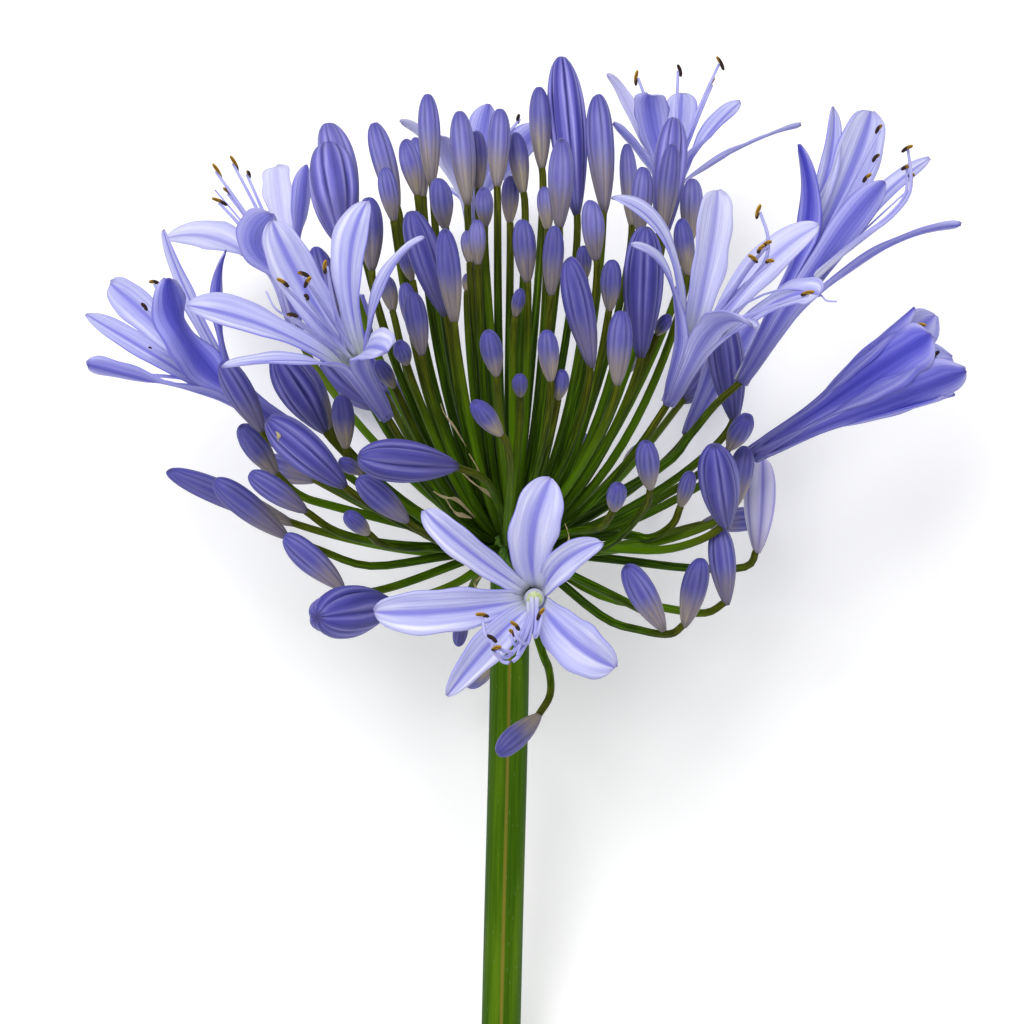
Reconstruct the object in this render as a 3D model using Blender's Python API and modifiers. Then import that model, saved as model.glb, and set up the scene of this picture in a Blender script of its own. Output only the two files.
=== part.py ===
"""Agapanthus flower head, cut on a short stem and laid on its back. Metres, +Z up.

The origin is on the surface, under the middle of the flower's box. The lists are in
millimetres of the flower's own frame, from the hub where the pedicels meet: x to the
right and u up the stem, as the head is seen from its front, and w towards that view.
"""

import math
import random

import bmesh
import bpy
from mathutils import Matrix, Vector

MM = 0.001

# How the cut flower lies
RECLINE = math.radians(20)
SCAPE_LENGTH = 132
SCAPE_RADIUS = 4.0
PRESSED = 0.35
HUB_HEIGHT = SCAPE_LENGTH * math.sin(RECLINE) + SCAPE_RADIUS * math.cos(RECLINE) - PRESSED
ORIGIN_X = 3.0
ORIGIN_Y = -9.4
UPWARD = Vector((0, math.sin(RECLINE), math.cos(RECLINE)))
SURFACE_SIZE = (0.6, 0.6, 0.1)

# The front view that x and u are read in: where it looks, and from how far
VIEW_X = 0.4
VIEW_U = 6.6
VIEW_DISTANCE = 900

# The scape's middle line, from the hub down to the cut
SCAPE_LINE = [(0, 2, 0), (-0.2, -31, 0), (-1.4, -80, 0), (-2.6, -SCAPE_LENGTH, 0)]
SCAPE_SIDES = 12

# Hub, and pedicels that leave it along its radius and hook into their florets
HUB_RADIUS = 6.5
HUB_REACH = math.radians(112)
HUB_SEGMENTS = 12
HUB_RINGS = 8
ROOT_DEPTH = 0.6
PEDICEL_ROOT_RADIUS = 0.62
PEDICEL_END_RADIUS = 0.78
PEDICEL_SIDES = 4
PEDICEL_SEGMENTS = 4
PEDICEL_CROWDING = 1.4
PEDICEL_RISE = 0.34
PEDICEL_HOOK = 6
HOOK_SHARE = 0.22
ROUTE_DEPTH = 0.8
CLEARANCE = 0.3

# Buds: half-width along one, as a share of its widest, and its length for its width
BUD_SIDES = 6
BUD_RINGS = 5
SMALL_BUD = 4.7
SMALL_BUD_RINGS = 4
BUD_WIDEST = 0.6
BUD_FOOT = 0.2
BUD_RISE = 0.85
BUD_BLUNT = 2.3
BUD_END = 1.005
BUD_SLENDERNESS = 2.6
BUD_ROOT = 0.3
BUD_CHECKS = 20

# Blooms: a tepal has a narrow claw, is widest past its middle and ends bluntly
TUBE_SIDES = 8
TEPAL_THICKNESS = 0.65
TEPAL_SEGMENTS = 4
TEPAL_CUP = 0.22
TEPAL_ROOT = 3
TEPAL_INSET = 1.3
TEPAL_WIDEST = 0.58
TEPAL_CLAW = 0.34
TEPAL_BLUNT = 2.6
TEPAL_TIP = 0.24
BEND_LIFT = 5
FILAMENT_RADIUS = 0.38
ANTHER_RADIUS = 0.7
STAMEN_STEPS = (0, 0.55, 0.88, 1)
STAMEN_ARCH = 2

# Buds seen from the front: tip x, tip u, base x, base u, width, depth w of the base
BUDS = [
    (-27.4, 84.8, -22.4, 67.0, 5.0, -6),
    (-25.2, 75.4, -23.2, 64.4, 4.0, 4),
    (-21.2, 80.8, -18.4, 69.4, 4.2, 1),
    (-16.6, 90.6, -15.6, 71.4, 4.6, -8),
    (-18.8, 81.8, -17.2, 69.0, 4.0, -15),
    (-14.0, 72.8, -12.8, 63.2, 4.6, 9),
    (-10.2, 87.2, -8.4, 67.6, 5.0, -10),
    (-7.0, 83.0, -6.4, 70.6, 4.4, -17),
    (-5.4, 70.8, -5.0, 63.4, 3.6, 4),
    (-2.0, 87.6, -2.6, 71.0, 4.6, -3),
    (1.2, 82.8, 2.8, 69.8, 4.0, -10),
    (0.2, 73.8, 0.0, 64.0, 3.6, -14),
    (5.8, 92.0, 6.4, 74.6, 4.4, -14),
    (17.4, 90.6, 18.8, 66.2, 5.6, -8),
    (10.2, 80.8, 9.8, 62.8, 5.0, 6),
    (6.8, 71.8, 7.6, 62.6, 3.4, -4),
    (2.6, 65.0, 3.6, 52.2, 4.6, 17),
    (9.0, 63.6, 8.2, 49.6, 4.2, 21),
    (-6.6, 65.0, -6.4, 55.6, 3.4, 9),
    (-8.8, 63.0, -8.0, 56.0, 3.0, -4),
    (-13.0, 62.8, -11.0, 43.8, 4.8, 29),
    (-19.6, 66.6, -12.8, 45.8, 6.6, 19),
    (-21.6, 59.0, -19.4, 52.6, 2.8, 6),
    (-19.6, 50.4, -17.6, 37.8, 4.6, 27),
    (-21.0, 52.4, -19.2, 42.0, 3.6, 17),
    (-8.6, 54.4, -8.6, 50.4, 2.2, -10),
    (2.2, 50.8, 1.0, 45.4, 2.6, 20),
    (-4.4, 42.6, -2.6, 33.6, 4.2, 40),
    (7.4, 43.0, 8.2, 32.4, 4.0, 42),
    (1.8, 33.8, 2.0, 29.8, 3.0, 36),
    (10.4, 34.6, 9.6, 29.0, 3.2, 36),
    (-22.0, 40.0, -20.6, 36.0, 3.4, 26),
    (-7.0, 28.4, -1.4, 21.8, 4.0, 46),
    (-33.6, 30.0, -32.8, 19.0, 4.4, 16),
    (-26.4, 36.6, -23.0, 31.4, 3.2, 12),
    (-57.6, 36.6, -49.6, 22.6, 5.6, 18),
    (-48.4, 25.0, -33.0, 11.6, 7.6, 32),
    (-53.4, 23.6, -46.6, 14.0, 5.2, 6),
    (-67.8, 15.0, -43.0, 4.2, 5.2, 2),
    (-59.0, 13.0, -44.4, 1.4, 5.6, 14),
    (-52.0, 14.4, -40.6, 6.6, 5.0, 22),
    (-45.2, 1.6, -33.4, -9.0, 5.6, 20),
    (-32.4, 6.2, -28.2, 2.2, 3.6, 32),
    (-37.0, 81.4, -33.4, 60.0, 10.0, -6),
    (-36.6, 84.8, -31.0, 66.0, 7.0, -18),
    (-30.0, 17.6, -10.6, 15.8, 8.0, 42),
    (-30.4, 13.4, -20.4, 4.6, 5.2, 36),
    (-33.8, 16.6, -29.6, 14.2, 3.0, 24),
    (-37.6, -14.0, -23.6, -12.0, 9.6, 32),
    (27.0, 63.4, 26.2, 37.4, 7.6, 16),
    (40.4, 19.8, 43.4, 3.4, 7.6, 22),
    (10.4, 98.2, 13.4, 66.0, 7.4, -14),
    (50.4, 17.4, 49.4, -1.6, 6.4, -4),
    (42.2, 46.0, 44.8, 24.6, 7.2, -10),
    (-46.4, 37.6, -37.0, 22.6, 7.6, 10),
    (-42.0, 36.6, -35.6, 23.0, 5.2, 2),
    (16.4, 68.8, 17.4, 56.6, 4.6, 12),
    (14.6, 59.4, 15.0, 53.0, 3.2, 2),
    (20.2, 56.8, 19.8, 46.6, 4.2, 20),
    (11.4, 57.0, 16.2, 35.4, 6.0, 36),
    (22.2, 46.8, 21.4, 31.6, 5.0, 36),
    (26.8, 75.4, 26.0, 62.0, 4.6, 0),
    (33.2, 85.8, 30.6, 61.0, 6.8, -10),
    (32.4, 80.0, 30.6, 62.4, 4.4, 2),
    (36.4, 73.4, 36.0, 60.6, 4.6, -6),
    (34.0, 65.0, 35.6, 53.4, 4.0, 6),
    (23.4, 80.6, 24.4, 63.0, 3.6, -16),
    (31.6, 45.4, 29.4, 42.0, 2.8, 8),
    (-38.8, 59.6, -34.6, 43.0, 5.6, -8),
    (-28.2, 69.4, -27.6, 54.6, 5.2, 8),
    (-25.0, 53.8, -23.4, 46.4, 3.4, -4),
    (47.0, 25.4, 43.6, 19.0, 4.4, 14),
    (47.0, 19.8, 45.0, 7.6, 4.8, 8),
    (27.0, 20.6, 28.2, 11.0, 4.6, 32),
    (21.6, 12.2, 20.8, 7.0, 3.8, 32),
    (41.6, 3.8, 43.4, -12.0, 5.4, 16),
    (38.0, -2.6, 34.8, -16.4, 5.2, 26),
    (23.2, -4.2, 30.8, -17.2, 5.6, 36),
    (36.0, 14.6, 34.0, 7.4, 3.4, 10),
    (-2.6, -41.4, 6.0, -33.8, 4.8, 20),
    (-10.4, -20.2, -9.0, -12.0, 3.2, -18),
    (-8.6, -28.2, -3.2, -23.4, 4.4, -16),
]

# The two balloon buds at the back that the head lies on, as above
REST_BUDS = [
    (-37.0, 37.0, -27.0, 26.0, 9.0, -52),
    (45.0, 40.0, 34.5, 28.0, 9.0, -52),
]

# Smaller buds of the back, which the front view hides: number, seed and their dome
BACK_BUDS = 7
BACK_SEED = 7
BACK_LEAN = math.radians(18)
BACK_SPREAD = math.radians(46)
BACK_BASE = 52
BACK_WIDTH = 4.8
BACK_RISE = 4

# The bends of the pedicels that sag, from the floret back to the hub, by the floret's foot
ROUTES = {
    (46.2, 32.4): [(41.0, 28.0), (36.0, 22.0), (29.4, 15.0)],
    (-10.6, 15.8): [(-5.0, 13.0), (-2.0, 7.0)],
    (-23.6, -12.0): [(-14.0, -9.0), (-8.0, -6.0)],
    (43.4, 3.4): [(38.0, 1.0), (30.0, -1.0), (18.0, -0.6)],
    (49.4, -1.6): [(47.0, -4.4), (36.0, -4.6), (22.0, -3.0)],
    (-46.6, 14.0): [(-42.0, 10.0), (-34.0, 7.4)],
    (-44.4, 1.4): [(-38.0, -1.0), (-28.0, -4.2), (-14.0, -2.4)],
    (-40.6, 6.6): [(-34.0, 2.4), (-22.0, 0.0)],
    (-28.2, 2.2): [(-25.0, 0.0), (-16.0, -0.6)],
    (28.2, 11.0): [(26.6, 7.0), (18.0, -0.6)],
    (20.8, 7.0): [(18.0, 3.6), (11.0, 2.4)],
    (43.4, -12.0): [(39.0, -13.6), (31.0, -12.6), (18.0, -10.0)],
    (34.8, -16.4): [(32.0, -17.8), (26.0, -17.0), (18.0, -14.0)],
    (30.8, -17.2): [(27.0, -13.4), (13.0, -6.4)],
    (34.0, 7.4): [(32.4, 4.0), (28.0, 1.4), (22.0, 2.0)],
    (6.0, -33.8): [(8.0, -30.0), (7.8, -25.0), (6.0, -20.0)],
}

# Blooms seen from the front. Base of the tube, its throat and the throat's radius, then
# each tepal: x and u of the point that it bends towards, its tip, and its width. Then
# the anthers.
BLOOMS = {
    "bloom_front": (
        (3.5, -7.5, 38), (5.0, -11.0, 56), 3.0,
        [(2.4, 2.0, (8.2, 13.4, 60), 9.0), (-9.0, -1.5, (-17.2, 7.0, 61), 5.6),
         (-11.5, -14.0, (-27.2, -13.4, 62), 8.2), (-4.5, -19.0, (-12.6, -30.2, 62), 6.4),
         (11.0, -20.0, (21.0, -24.6, 62), 9.2), (9.0, -2.0, (18.4, 0.6, 60), 5.6)],
        [(-5.6, -14.4, 70), (-2.6, -21.0, 72), (-3.8, -19.0, 71), (0.8, -16.4, 70),
         (0.2, -17.8, 68), (6.4, -14.0, 70)]),
    "bloom_left_front": (
        (-24.6, 25.4, 32), (-33.0, 39.6, 42), 3.8,
        [(-49.6, 46.0, (-64.6, 48.0, 50), 8.2), (-43.5, 54.0, (-47.6, 64.8, 50), 8.2),
         (-35.0, 57.8, (-28.6, 68.8, 46), 8.6), (-27.0, 57.0, (-17.2, 61.6, 50), 5.4),
         (-41.0, 38.5, (-57.6, 35.8, 56), 5.0), (-29.5, 41.4, (-24.6, 38.8, 60), 7.2)],
        [(-45.6, 52.2, 60), (-41.4, 53.8, 60), (-40.2, 52.4, 61), (-41.0, 49.4, 62),
         (-43.6, 45.6, 62), (-36.6, 55.6, 58)]),
    "bloom_far_left": (
        (-44.0, 23.0, -2), (-60.0, 34.0, 2), 4.2,
        [(-74.0, 40.0, (-84.8, 46.2, 2), 4.8), (-73.0, 33.2, (-84.6, 36.4, 6), 4.6),
         (-71.5, 45.2, (-80.0, 52.4, -8), 6.8), (-65.6, 50.0, (-69.4, 63.0, -6), 4.0),
         (-60.8, 50.0, (-57.0, 59.0, 8), 2.8), (-68.4, 42.6, (-68.6, 53.4, 13), 12.6)],
        [(-71.2, 52.2, 2), (-73.4, 47.4, 4), (-72.2, 39.2, 6), (-81.6, 34.2, 0)]),
    "bloom_back_left": (
        (-42.6, 42.5, -24), (-46.0, 57.0, -24), 3.4,
        [(-58.0, 64.5, (-68.8, 61.4, -34), 9.0), (-55.5, 60.4, (-47.8, 66.4, -14), 7.6),
         (-46.0, 66.0, (-46.8, 75.8, -36), 5.8), (-41.8, 66.5, (-40.8, 76.0, -26), 5.4),
         (-56.0, 62.0, (-61.0, 64.0, -48), 7.0), (-47.0, 63.0, (-50.0, 66.0, -54), 7.0)],
        [(-58.8, 74.6, -36), (-55.4, 76.2, -38), (-52.6, 74.0, -40), (-56.4, 70.2, -34),
         (-58.2, 68.4, -32)]),
    "bloom_back_right": (
        (30.0, 63.0, -24), (32.0, 75.0, -32), 3.2,
        [(23.0, 93.0, (19.4, 94.2, -34), 2.6), (25.8, 80.0, (20.6, 84.4, -28), 2.2),
         (28.0, 84.0, (27.8, 90.2, -24), 6.8), (34.0, 83.0, (34.4, 90.4, -46), 6.6),
         (38.8, 82.4, (46.0, 88.6, -34), 7.0), (46.8, 81.6, (58.2, 84.2, -28), 2.2)],
        [(25.6, 93.4, -34), (33.6, 94.8, -40), (40.4, 92.0, -40), (41.8, 96.2, -36)]),
    "bloom_right_front": (
        (31.6, 28.2, 30), (38.0, 43.0, 38), 4.6,
        [(35.6, 65.8, (20.4, 69.6, 44), 5.4), (34.0, 58.0, (24.2, 60.2, 54), 4.8),
         (40.4, 58.0, (41.6, 71.0, 38), 7.8), (49.6, 58.2, (61.8, 64.0, 42), 7.6),
         (56.0, 53.2, (61.8, 50.0, 54), 5.8), (42.6, 48.6, (48.6, 43.8, 60), 7.0)],
        [(50.0, 66.6, 54), (48.4, 57.0, 56), (50.4, 59.0, 57), (51.6, 60.0, 55),
         (52.0, 56.4, 56), (59.6, 50.0, 60)]),
    "bloom_right_high": (
        (46.2, 32.4, -4), (57.0, 51.0, -2), 4.0,
        [(64.0, 66.0, (57.8, 80.2, 4), 5.2), (66.0, 73.0, (64.8, 87.6, -8), 4.0),
         (68.2, 71.0, (72.3, 86.8, -12), 10.2), (66.0, 62.3, (74.8, 72.8, 8), 6.4),
         (71.2, 69.8, (84.0, 77.4, -10), 6.0), (76.0, 63.8, (90.2, 64.2, 4), 2.8)],
        [(74.0, 83.0, 0), (73.4, 77.2, 2), (71.6, 73.2, 6), (79.6, 79.0, 0),
         (79.4, 75.2, 2), (80.4, 73.6, 4)]),
    "bloom_back_top": (
        (-7.0, 62.0, -30), (-8.0, 72.0, -42), 3.0,
        [(-6.0, 81.0, (-4.4, 88.2, -46), 6.4), (-15.0, 82.0, (-22.0, 85.0, -36), 3.6),
         (-12.0, 78.0, (-14.0, 82.0, -30), 4.0), (0.0, 78.0, (6.0, 84.0, -44), 7.0),
         (-3.0, 73.0, (0.0, 74.0, -64), 8.0), (-14.0, 73.0, (-18.0, 73.0, -60), 8.0)],
        [(2.0, 85.2, -44)]),
}

# Half-open blooms, each a trumpet of six like tepals. Base, throat and the throat's radius,
# how far from the axis and how far ahead the tips are, the turn of the first one, and the
# anthers. The front view hides the last two.
TRUMPETS = {
    "bloom_right_trumpet": (
        (48.4, 18.0, 3), (66.0, 28.0, 7), 4.6, 9.4, 23.6, math.radians(10),
        [(82.0, 43.6, 17), (85.4, 37.8, 18)]),
    "bloom_back_low_left": ((-25.0, 30.0, -32), (-30.0, 39.0, -41), 3.2, 6.0, 16.0, 0.0, []),
    "bloom_back_low_right": ((35.4, 22.0, -14), (41.0, 34.0, -22), 3.0, 5.0, 12.0, 0.0, []),
}
TRUMPET_WIDTH = 7.6
TRUMPET_FLARE = 0.8


def flower_frame():
    """Takes a point of the flower's frame, in millimetres, to the laid flower in metres."""
    lift = Vector((-ORIGIN_X, -ORIGIN_Y, HUB_HEIGHT)) * MM
    return Matrix.Translation(lift) @ Matrix.Rotation(RECLINE, 4, "X") @ Matrix.Scale(MM, 4)


LAID = flower_frame()


def seen(x, u, w):
    """The point at depth w that the front view shows at x and u."""
    nearness = (VIEW_DISTANCE - w) / VIEW_DISTANCE
    return Vector((VIEW_X + (x - VIEW_X) * nearness, VIEW_U + (u - VIEW_U) * nearness, w))


def bezier(points, t):
    """Point on the Bezier curve of any number of points."""
    while len(points) > 1:
        points = [a.lerp(b, t) for a, b in zip(points, points[1:])]
    return points[0]


def frame_along(direction, roll=0.0):
    """Rotation that turns +Z to a direction."""
    turn = direction.to_track_quat("Z", "X").to_matrix().to_4x4()
    return turn @ Matrix.Rotation(roll, 4, "Z")


def material(name, colour, roughness):
    finish = bpy.data.materials.new(name)
    finish.use_nodes = True
    shader = finish.node_tree.nodes["Principled BSDF"]
    shader.inputs["Base Color"].default_value = (*colour, 1.0)
    shader.inputs["Roughness"].default_value = roughness
    return finish


def object_from(bm, name, collection):
    """Turns a bmesh into an object of the collection, laid where the flower lies."""
    bmesh.ops.transform(bm, matrix=LAID, verts=bm.verts)
    mesh = bpy.data.meshes.new(name)
    bm.to_mesh(mesh)
    bm.free()
    piece = bpy.data.objects.new(name, mesh)
    collection.objects.link(piece)
    return piece


def stalk(name, points, radii, sides, collection):
    """A round stem along the points: a curve with a bevel, made a closed mesh."""
    curve = bpy.data.curves.new(name, "CURVE")
    curve.dimensions = "3D"
    curve.bevel_depth = 1.0
    curve.bevel_resolution = sides // 2 - 2
    curve.use_fill_caps = True
    line = curve.splines.new("POLY")
    line.points.add(len(points) - 1)
    for spot, point, radius in zip(line.points, points, radii):
        spot.co = (*point, 1.0)
        spot.radius = radius
    drawn = bpy.data.objects.new(name, curve)
    collection.objects.link(drawn)
    evaluated = drawn.evaluated_get(bpy.context.evaluated_depsgraph_get())
    bm = bmesh.new()
    bm.from_mesh(bpy.data.meshes.new_from_object(evaluated))
    bmesh.ops.remove_doubles(bm, verts=bm.verts, dist=0.01)
    bpy.data.objects.remove(drawn)
    return object_from(bm, name, collection)


def apply_modifiers(piece):
    bpy.context.view_layer.update()
    evaluated = piece.evaluated_get(bpy.context.evaluated_depsgraph_get())
    mesh = bpy.data.meshes.new_from_object(evaluated)
    piece.modifiers.clear()
    piece.data = mesh


def fuse(body, repeats):
    """Joins a collection's objects to the body in one union, and removes them."""
    union = body.modifiers.new("grown together", "BOOLEAN")
    union.operation = "UNION"
    union.operand_type = "COLLECTION"
    union.collection = repeats
    union.solver = "MANIFOLD"
    apply_modifiers(body)
    for piece in list(repeats.objects):
        bpy.data.objects.remove(piece)
    bpy.data.collections.remove(repeats)


def new_collection(name):
    collection = bpy.data.collections.new(name)
    bpy.context.scene.collection.children.link(collection)
    return collection


def bud_swell(s):
    """Half-width of a bud at s of its length, as a share of its widest."""
    if s < BUD_WIDEST:
        return BUD_FOOT + (1 - BUD_FOOT) * math.sin(math.pi / 2 * s / BUD_WIDEST) ** BUD_RISE
    return math.sqrt(1 - ((s - BUD_WIDEST) / (BUD_END - BUD_WIDEST)) ** BUD_BLUNT)


def bud(name, base, axis, length, width, roll, collection):
    bm = bmesh.new()
    rings = SMALL_BUD_RINGS if width < SMALL_BUD else BUD_RINGS
    bmesh.ops.create_uvsphere(bm, u_segments=BUD_SIDES, v_segments=rings, radius=1)
    for vert in bm.verts:
        s = (vert.co.z + 1) / 2
        out = Vector((vert.co.x, vert.co.y))
        if out.length > 0.01:
            out = out.normalized() * bud_swell(s) * width / 2
        vert.co = (out.x, out.y, s * length)
    place = Matrix.Translation(base) @ frame_along(axis, roll)
    bmesh.ops.transform(bm, matrix=place, verts=bm.verts)
    return object_from(bm, name, collection)


def bud_axis(tip, base, width, w):
    """Base, direction and length of a bud from its two ends in the front view.

    One that looks short for its width points towards the view, or away from it at the back.
    """
    foot = seen(*base, w)
    flat = seen(*tip, w) - foot
    length = max(flat.length * 1.02, BUD_SLENDERNESS * width)
    depth = math.sqrt(length ** 2 - flat.length ** 2)
    axis = Vector((flat.x, flat.y, depth if w >= 0 else -depth))
    return foot, axis.normalized(), length


def lowest(foot, axis, length, width):
    """Height of a bud's lowest point above the surface, in millimetres."""
    lean = math.sqrt(1 - axis.dot(UPWARD) ** 2)
    steps = [i / BUD_CHECKS for i in range(BUD_CHECKS + 1)]
    return min(HUB_HEIGHT + (foot + axis * length * s).dot(UPWARD)
               - bud_swell(s) * width / 2 * lean for s in steps)


def back_buds():
    """Buds of the hidden back, by the golden angle round the axis that points backwards."""
    draw = random.Random(BACK_SEED)
    golden = math.pi * (3 - math.sqrt(5))
    for i in range(BACK_BUDS):
        around = i * golden
        out = BACK_LEAN + BACK_SPREAD * math.sqrt((i + 0.5) / BACK_BUDS)
        toward = Vector((math.sin(out) * math.cos(around),
                         0.35 + 0.6 * math.sin(out) * math.sin(around), -math.cos(out)))
        reach = BACK_BASE * draw.uniform(0.9, 1.08)
        width = BACK_WIDTH * draw.uniform(0.8, 1.2)
        length = width * draw.uniform(2.8, 3.4)
        toward.normalize()
        while lowest(toward * reach, toward, length, width) < BACK_RISE:
            toward = (toward + UPWARD * 0.03).normalized()
        yield toward * reach, toward, length, width


def hub_roots(bases):
    """Where each pedicel leaves the hub: evenly over its dome, in the order that they lean."""
    lean = [base.angle(Vector((0, 1, 0))) for base in bases]
    order = sorted(range(len(bases)), key=lambda i: lean[i])
    roots = [None] * len(bases)
    for rank, i in enumerate(order):
        cosine = 1 - (1 - math.cos(HUB_REACH)) * (rank + 0.5) / len(bases)
        around = math.atan2(bases[i].z, bases[i].x)
        sine = math.sqrt(1 - cosine ** 2)
        roots[i] = Vector((sine * math.cos(around), cosine, sine * math.sin(around)))
    return roots


def pedicel(name, root_direction, end, axis, route, collection):
    """A curved stalk from inside the hub to a floret's foot, which it meets end on."""
    root = root_direction * HUB_RADIUS * ROOT_DEPTH
    if route:
        depths = [end.z * (1 - ROUTE_DEPTH * (i + 1) / (len(route) + 1)) for i in range(len(route))]
        points = [end, *(seen(*bend, w) for bend, w in zip(route, depths)), root][::-1]
        steps = [i / (len(points) - 1) for i in range(len(points))]
    else:
        span = (end - root).length
        hook = min(PEDICEL_HOOK, span * HOOK_SHARE)
        controls = [root, root + root_direction * span * PEDICEL_RISE, end - axis * hook, end]
        steps = [1 - (1 - i / PEDICEL_SEGMENTS) ** PEDICEL_CROWDING for i in range(PEDICEL_SEGMENTS + 1)]
        points = [bezier(controls, t) for t in steps]
    radii = [PEDICEL_ROOT_RADIUS + (PEDICEL_END_RADIUS - PEDICEL_ROOT_RADIUS) * t for t in steps]
    stalk(name, points, radii, PEDICEL_SIDES, collection)


def blade_outline(s):
    """Half-width of a tepal at s of its length, as a share of its widest."""
    if s < TEPAL_WIDEST:
        return TEPAL_CLAW + (1 - TEPAL_CLAW) * math.sin(math.pi / 2 * s / TEPAL_WIDEST)
    end = ((s - TEPAL_WIDEST) / (1 - TEPAL_WIDEST)) ** TEPAL_BLUNT
    return math.sqrt(max(TEPAL_TIP ** 2, 1 - end))


def tepal(name, root, bend, tip, axis, width, collection):
    """A lance-shaped blade along a bent middle line, cupped towards the bloom's axis."""
    outward = (tip - root) - axis * (tip - root).dot(axis)
    outward.normalize()
    bm = bmesh.new()
    bmesh.ops.create_grid(bm, x_segments=2, y_segments=TEPAL_SEGMENTS, size=0.5)
    for vert in bm.verts:
        side, s = vert.co.x * 2, vert.co.y + 0.5
        middle = bezier([root, bend, tip], s)
        along = (bezier([root, bend, tip], min(1, s + 0.02))
                 - bezier([root, bend, tip], max(0, s - 0.02))).normalized()
        inward = axis * along.dot(outward) - outward * along.dot(axis)
        inward = (inward - along * inward.dot(along)).normalized()
        half = width / 2 * blade_outline(s)
        vert.co = middle + along.cross(inward) * half * side + inward * TEPAL_CUP * half * side ** 2
    bmesh.ops.triangulate(bm, faces=bm.faces)
    blade = object_from(bm, name, collection)
    thick = blade.modifiers.new("thickness", "SOLIDIFY")
    thick.thickness = TEPAL_THICKNESS * MM
    thick.offset = 0
    return blade


def tube(name, base, throat, radius, collection):
    """The fused lower part of a bloom, round the ovary, widening to the throat."""
    axis = (throat - base).normalized()
    length = (throat - base).length
    bm = bmesh.new()
    bmesh.ops.create_cone(bm, cap_ends=True, segments=TUBE_SIDES, depth=length,
                          radius1=PEDICEL_END_RADIUS, radius2=radius)
    middle = Matrix.Translation((base + throat) / 2) @ frame_along(axis)
    bmesh.ops.transform(bm, matrix=middle, verts=bm.verts)
    return object_from(bm, name, collection)


def bloom(name, base, throat, radius, tepals, anthers, collection):
    """One open flower: a tube, six tepals and its stamens, grown as one piece."""
    base, throat = seen(*base), seen(*throat)
    axis = (throat - base).normalized()
    body = tube(name, base, throat, radius, collection)
    repeats = new_collection(name + " repeats")
    for i, (bend_x, bend_u, tip, width) in enumerate(tepals):
        tip = seen(*tip)
        bend = seen(bend_x, bend_u, (throat.z + tip.z) / 2 + BEND_LIFT * axis.z)
        outward = (tip - throat) - axis * (tip - throat).dot(axis)
        root = throat - axis * TEPAL_ROOT + outward.normalized() * (radius - TEPAL_INSET)
        tepal(f"{name} tepal {i}", root, bend, tip, axis, width, repeats)
    for i, anther in enumerate(anthers):
        end = seen(*anther)
        start = throat - axis
        controls = [start, start.lerp(end, 0.5) + axis * STAMEN_ARCH, end]
        points = [bezier(controls, t) for t in STAMEN_STEPS]
        radii = [FILAMENT_RADIUS, FILAMENT_RADIUS, ANTHER_RADIUS, ANTHER_RADIUS * 0.6]
        stalk(f"{name} stamen {i}", points, radii, 4, repeats)
    fuse(body, repeats)
    body.data.materials.append(LILAC)
    return base, axis


def trumpet_tepals(base, throat, spread, reach, turned):
    """Six like tepals of a half-open bloom, evenly round its axis from the turn of the first."""
    throat = Vector(throat)
    ahead = (throat - Vector(base)).normalized()
    start = ahead.cross(Vector((0, 0, 1))).normalized() * -1
    rows = []
    for i in range(6):
        out = (Matrix.Rotation(turned + i * math.pi / 3, 3, ahead) @ start) * spread
        tip = throat + out + ahead * reach
        bend = throat + out * TRUMPET_FLARE + ahead * reach / 2
        rows.append((bend.x, bend.y, tuple(tip), TRUMPET_WIDTH))
    return rows


for old in list(bpy.data.objects):
    bpy.data.objects.remove(old)

head = new_collection("agapanthus flower head")
GREEN = material("stalk green", (0.10, 0.24, 0.04), 0.5)
LILAC = material("tepal lilac", (0.42, 0.42, 0.80), 0.55)

florets = []
for row in BUDS + REST_BUDS:
    foot, axis, length = bud_axis(row[0:2], row[2:4], row[4], row[5])
    if row in REST_BUDS:
        foot -= UPWARD * (lowest(foot, axis, length, row[4]) + PRESSED)
    florets.append((foot, axis, length, row[4]))
florets.extend(back_buds())

blooms = dict(BLOOMS)
for name, (base, throat, radius, spread, reach, turned, anthers) in TRUMPETS.items():
    blooms[name] = (base, throat, radius, trumpet_tepals(base, throat, spread, reach, turned), anthers)
bloom_feet = [bloom(name, *rows, head) for name, rows in blooms.items()]

# The umbel: scape and hub, with every pedicel and closed bud
scape_radii = [SCAPE_RADIUS] * len(SCAPE_LINE)
umbel = stalk("umbel", [Vector(p) for p in SCAPE_LINE], scape_radii, SCAPE_SIDES, head)
repeats = new_collection("umbel repeats")

dome = bmesh.new()
bmesh.ops.create_uvsphere(dome, u_segments=HUB_SEGMENTS, v_segments=HUB_RINGS, radius=HUB_RADIUS)
object_from(dome, "hub", repeats)

seen_feet = [row[2:4] for row in BUDS + REST_BUDS] + [None] * BACK_BUDS
seen_feet += [rows[0][:2] for rows in blooms.values()]
ends = [foot + axis * length * BUD_ROOT for foot, axis, length, width in florets]
ends += [base - axis * CLEARANCE for base, axis in bloom_feet]
axes = [floret[1] for floret in florets] + [axis for base, axis in bloom_feet]
for i, root in enumerate(hub_roots(ends)):
    pedicel(f"pedicel {i}", root, ends[i], axes[i], ROUTES.get(seen_feet[i]), repeats)
for i, (foot, axis, length, width) in enumerate(florets):
    bud(f"bud {i}", foot, axis, length, width, i * 1.1, repeats)
fuse(umbel, repeats)
umbel.data.materials.append(GREEN)

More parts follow.
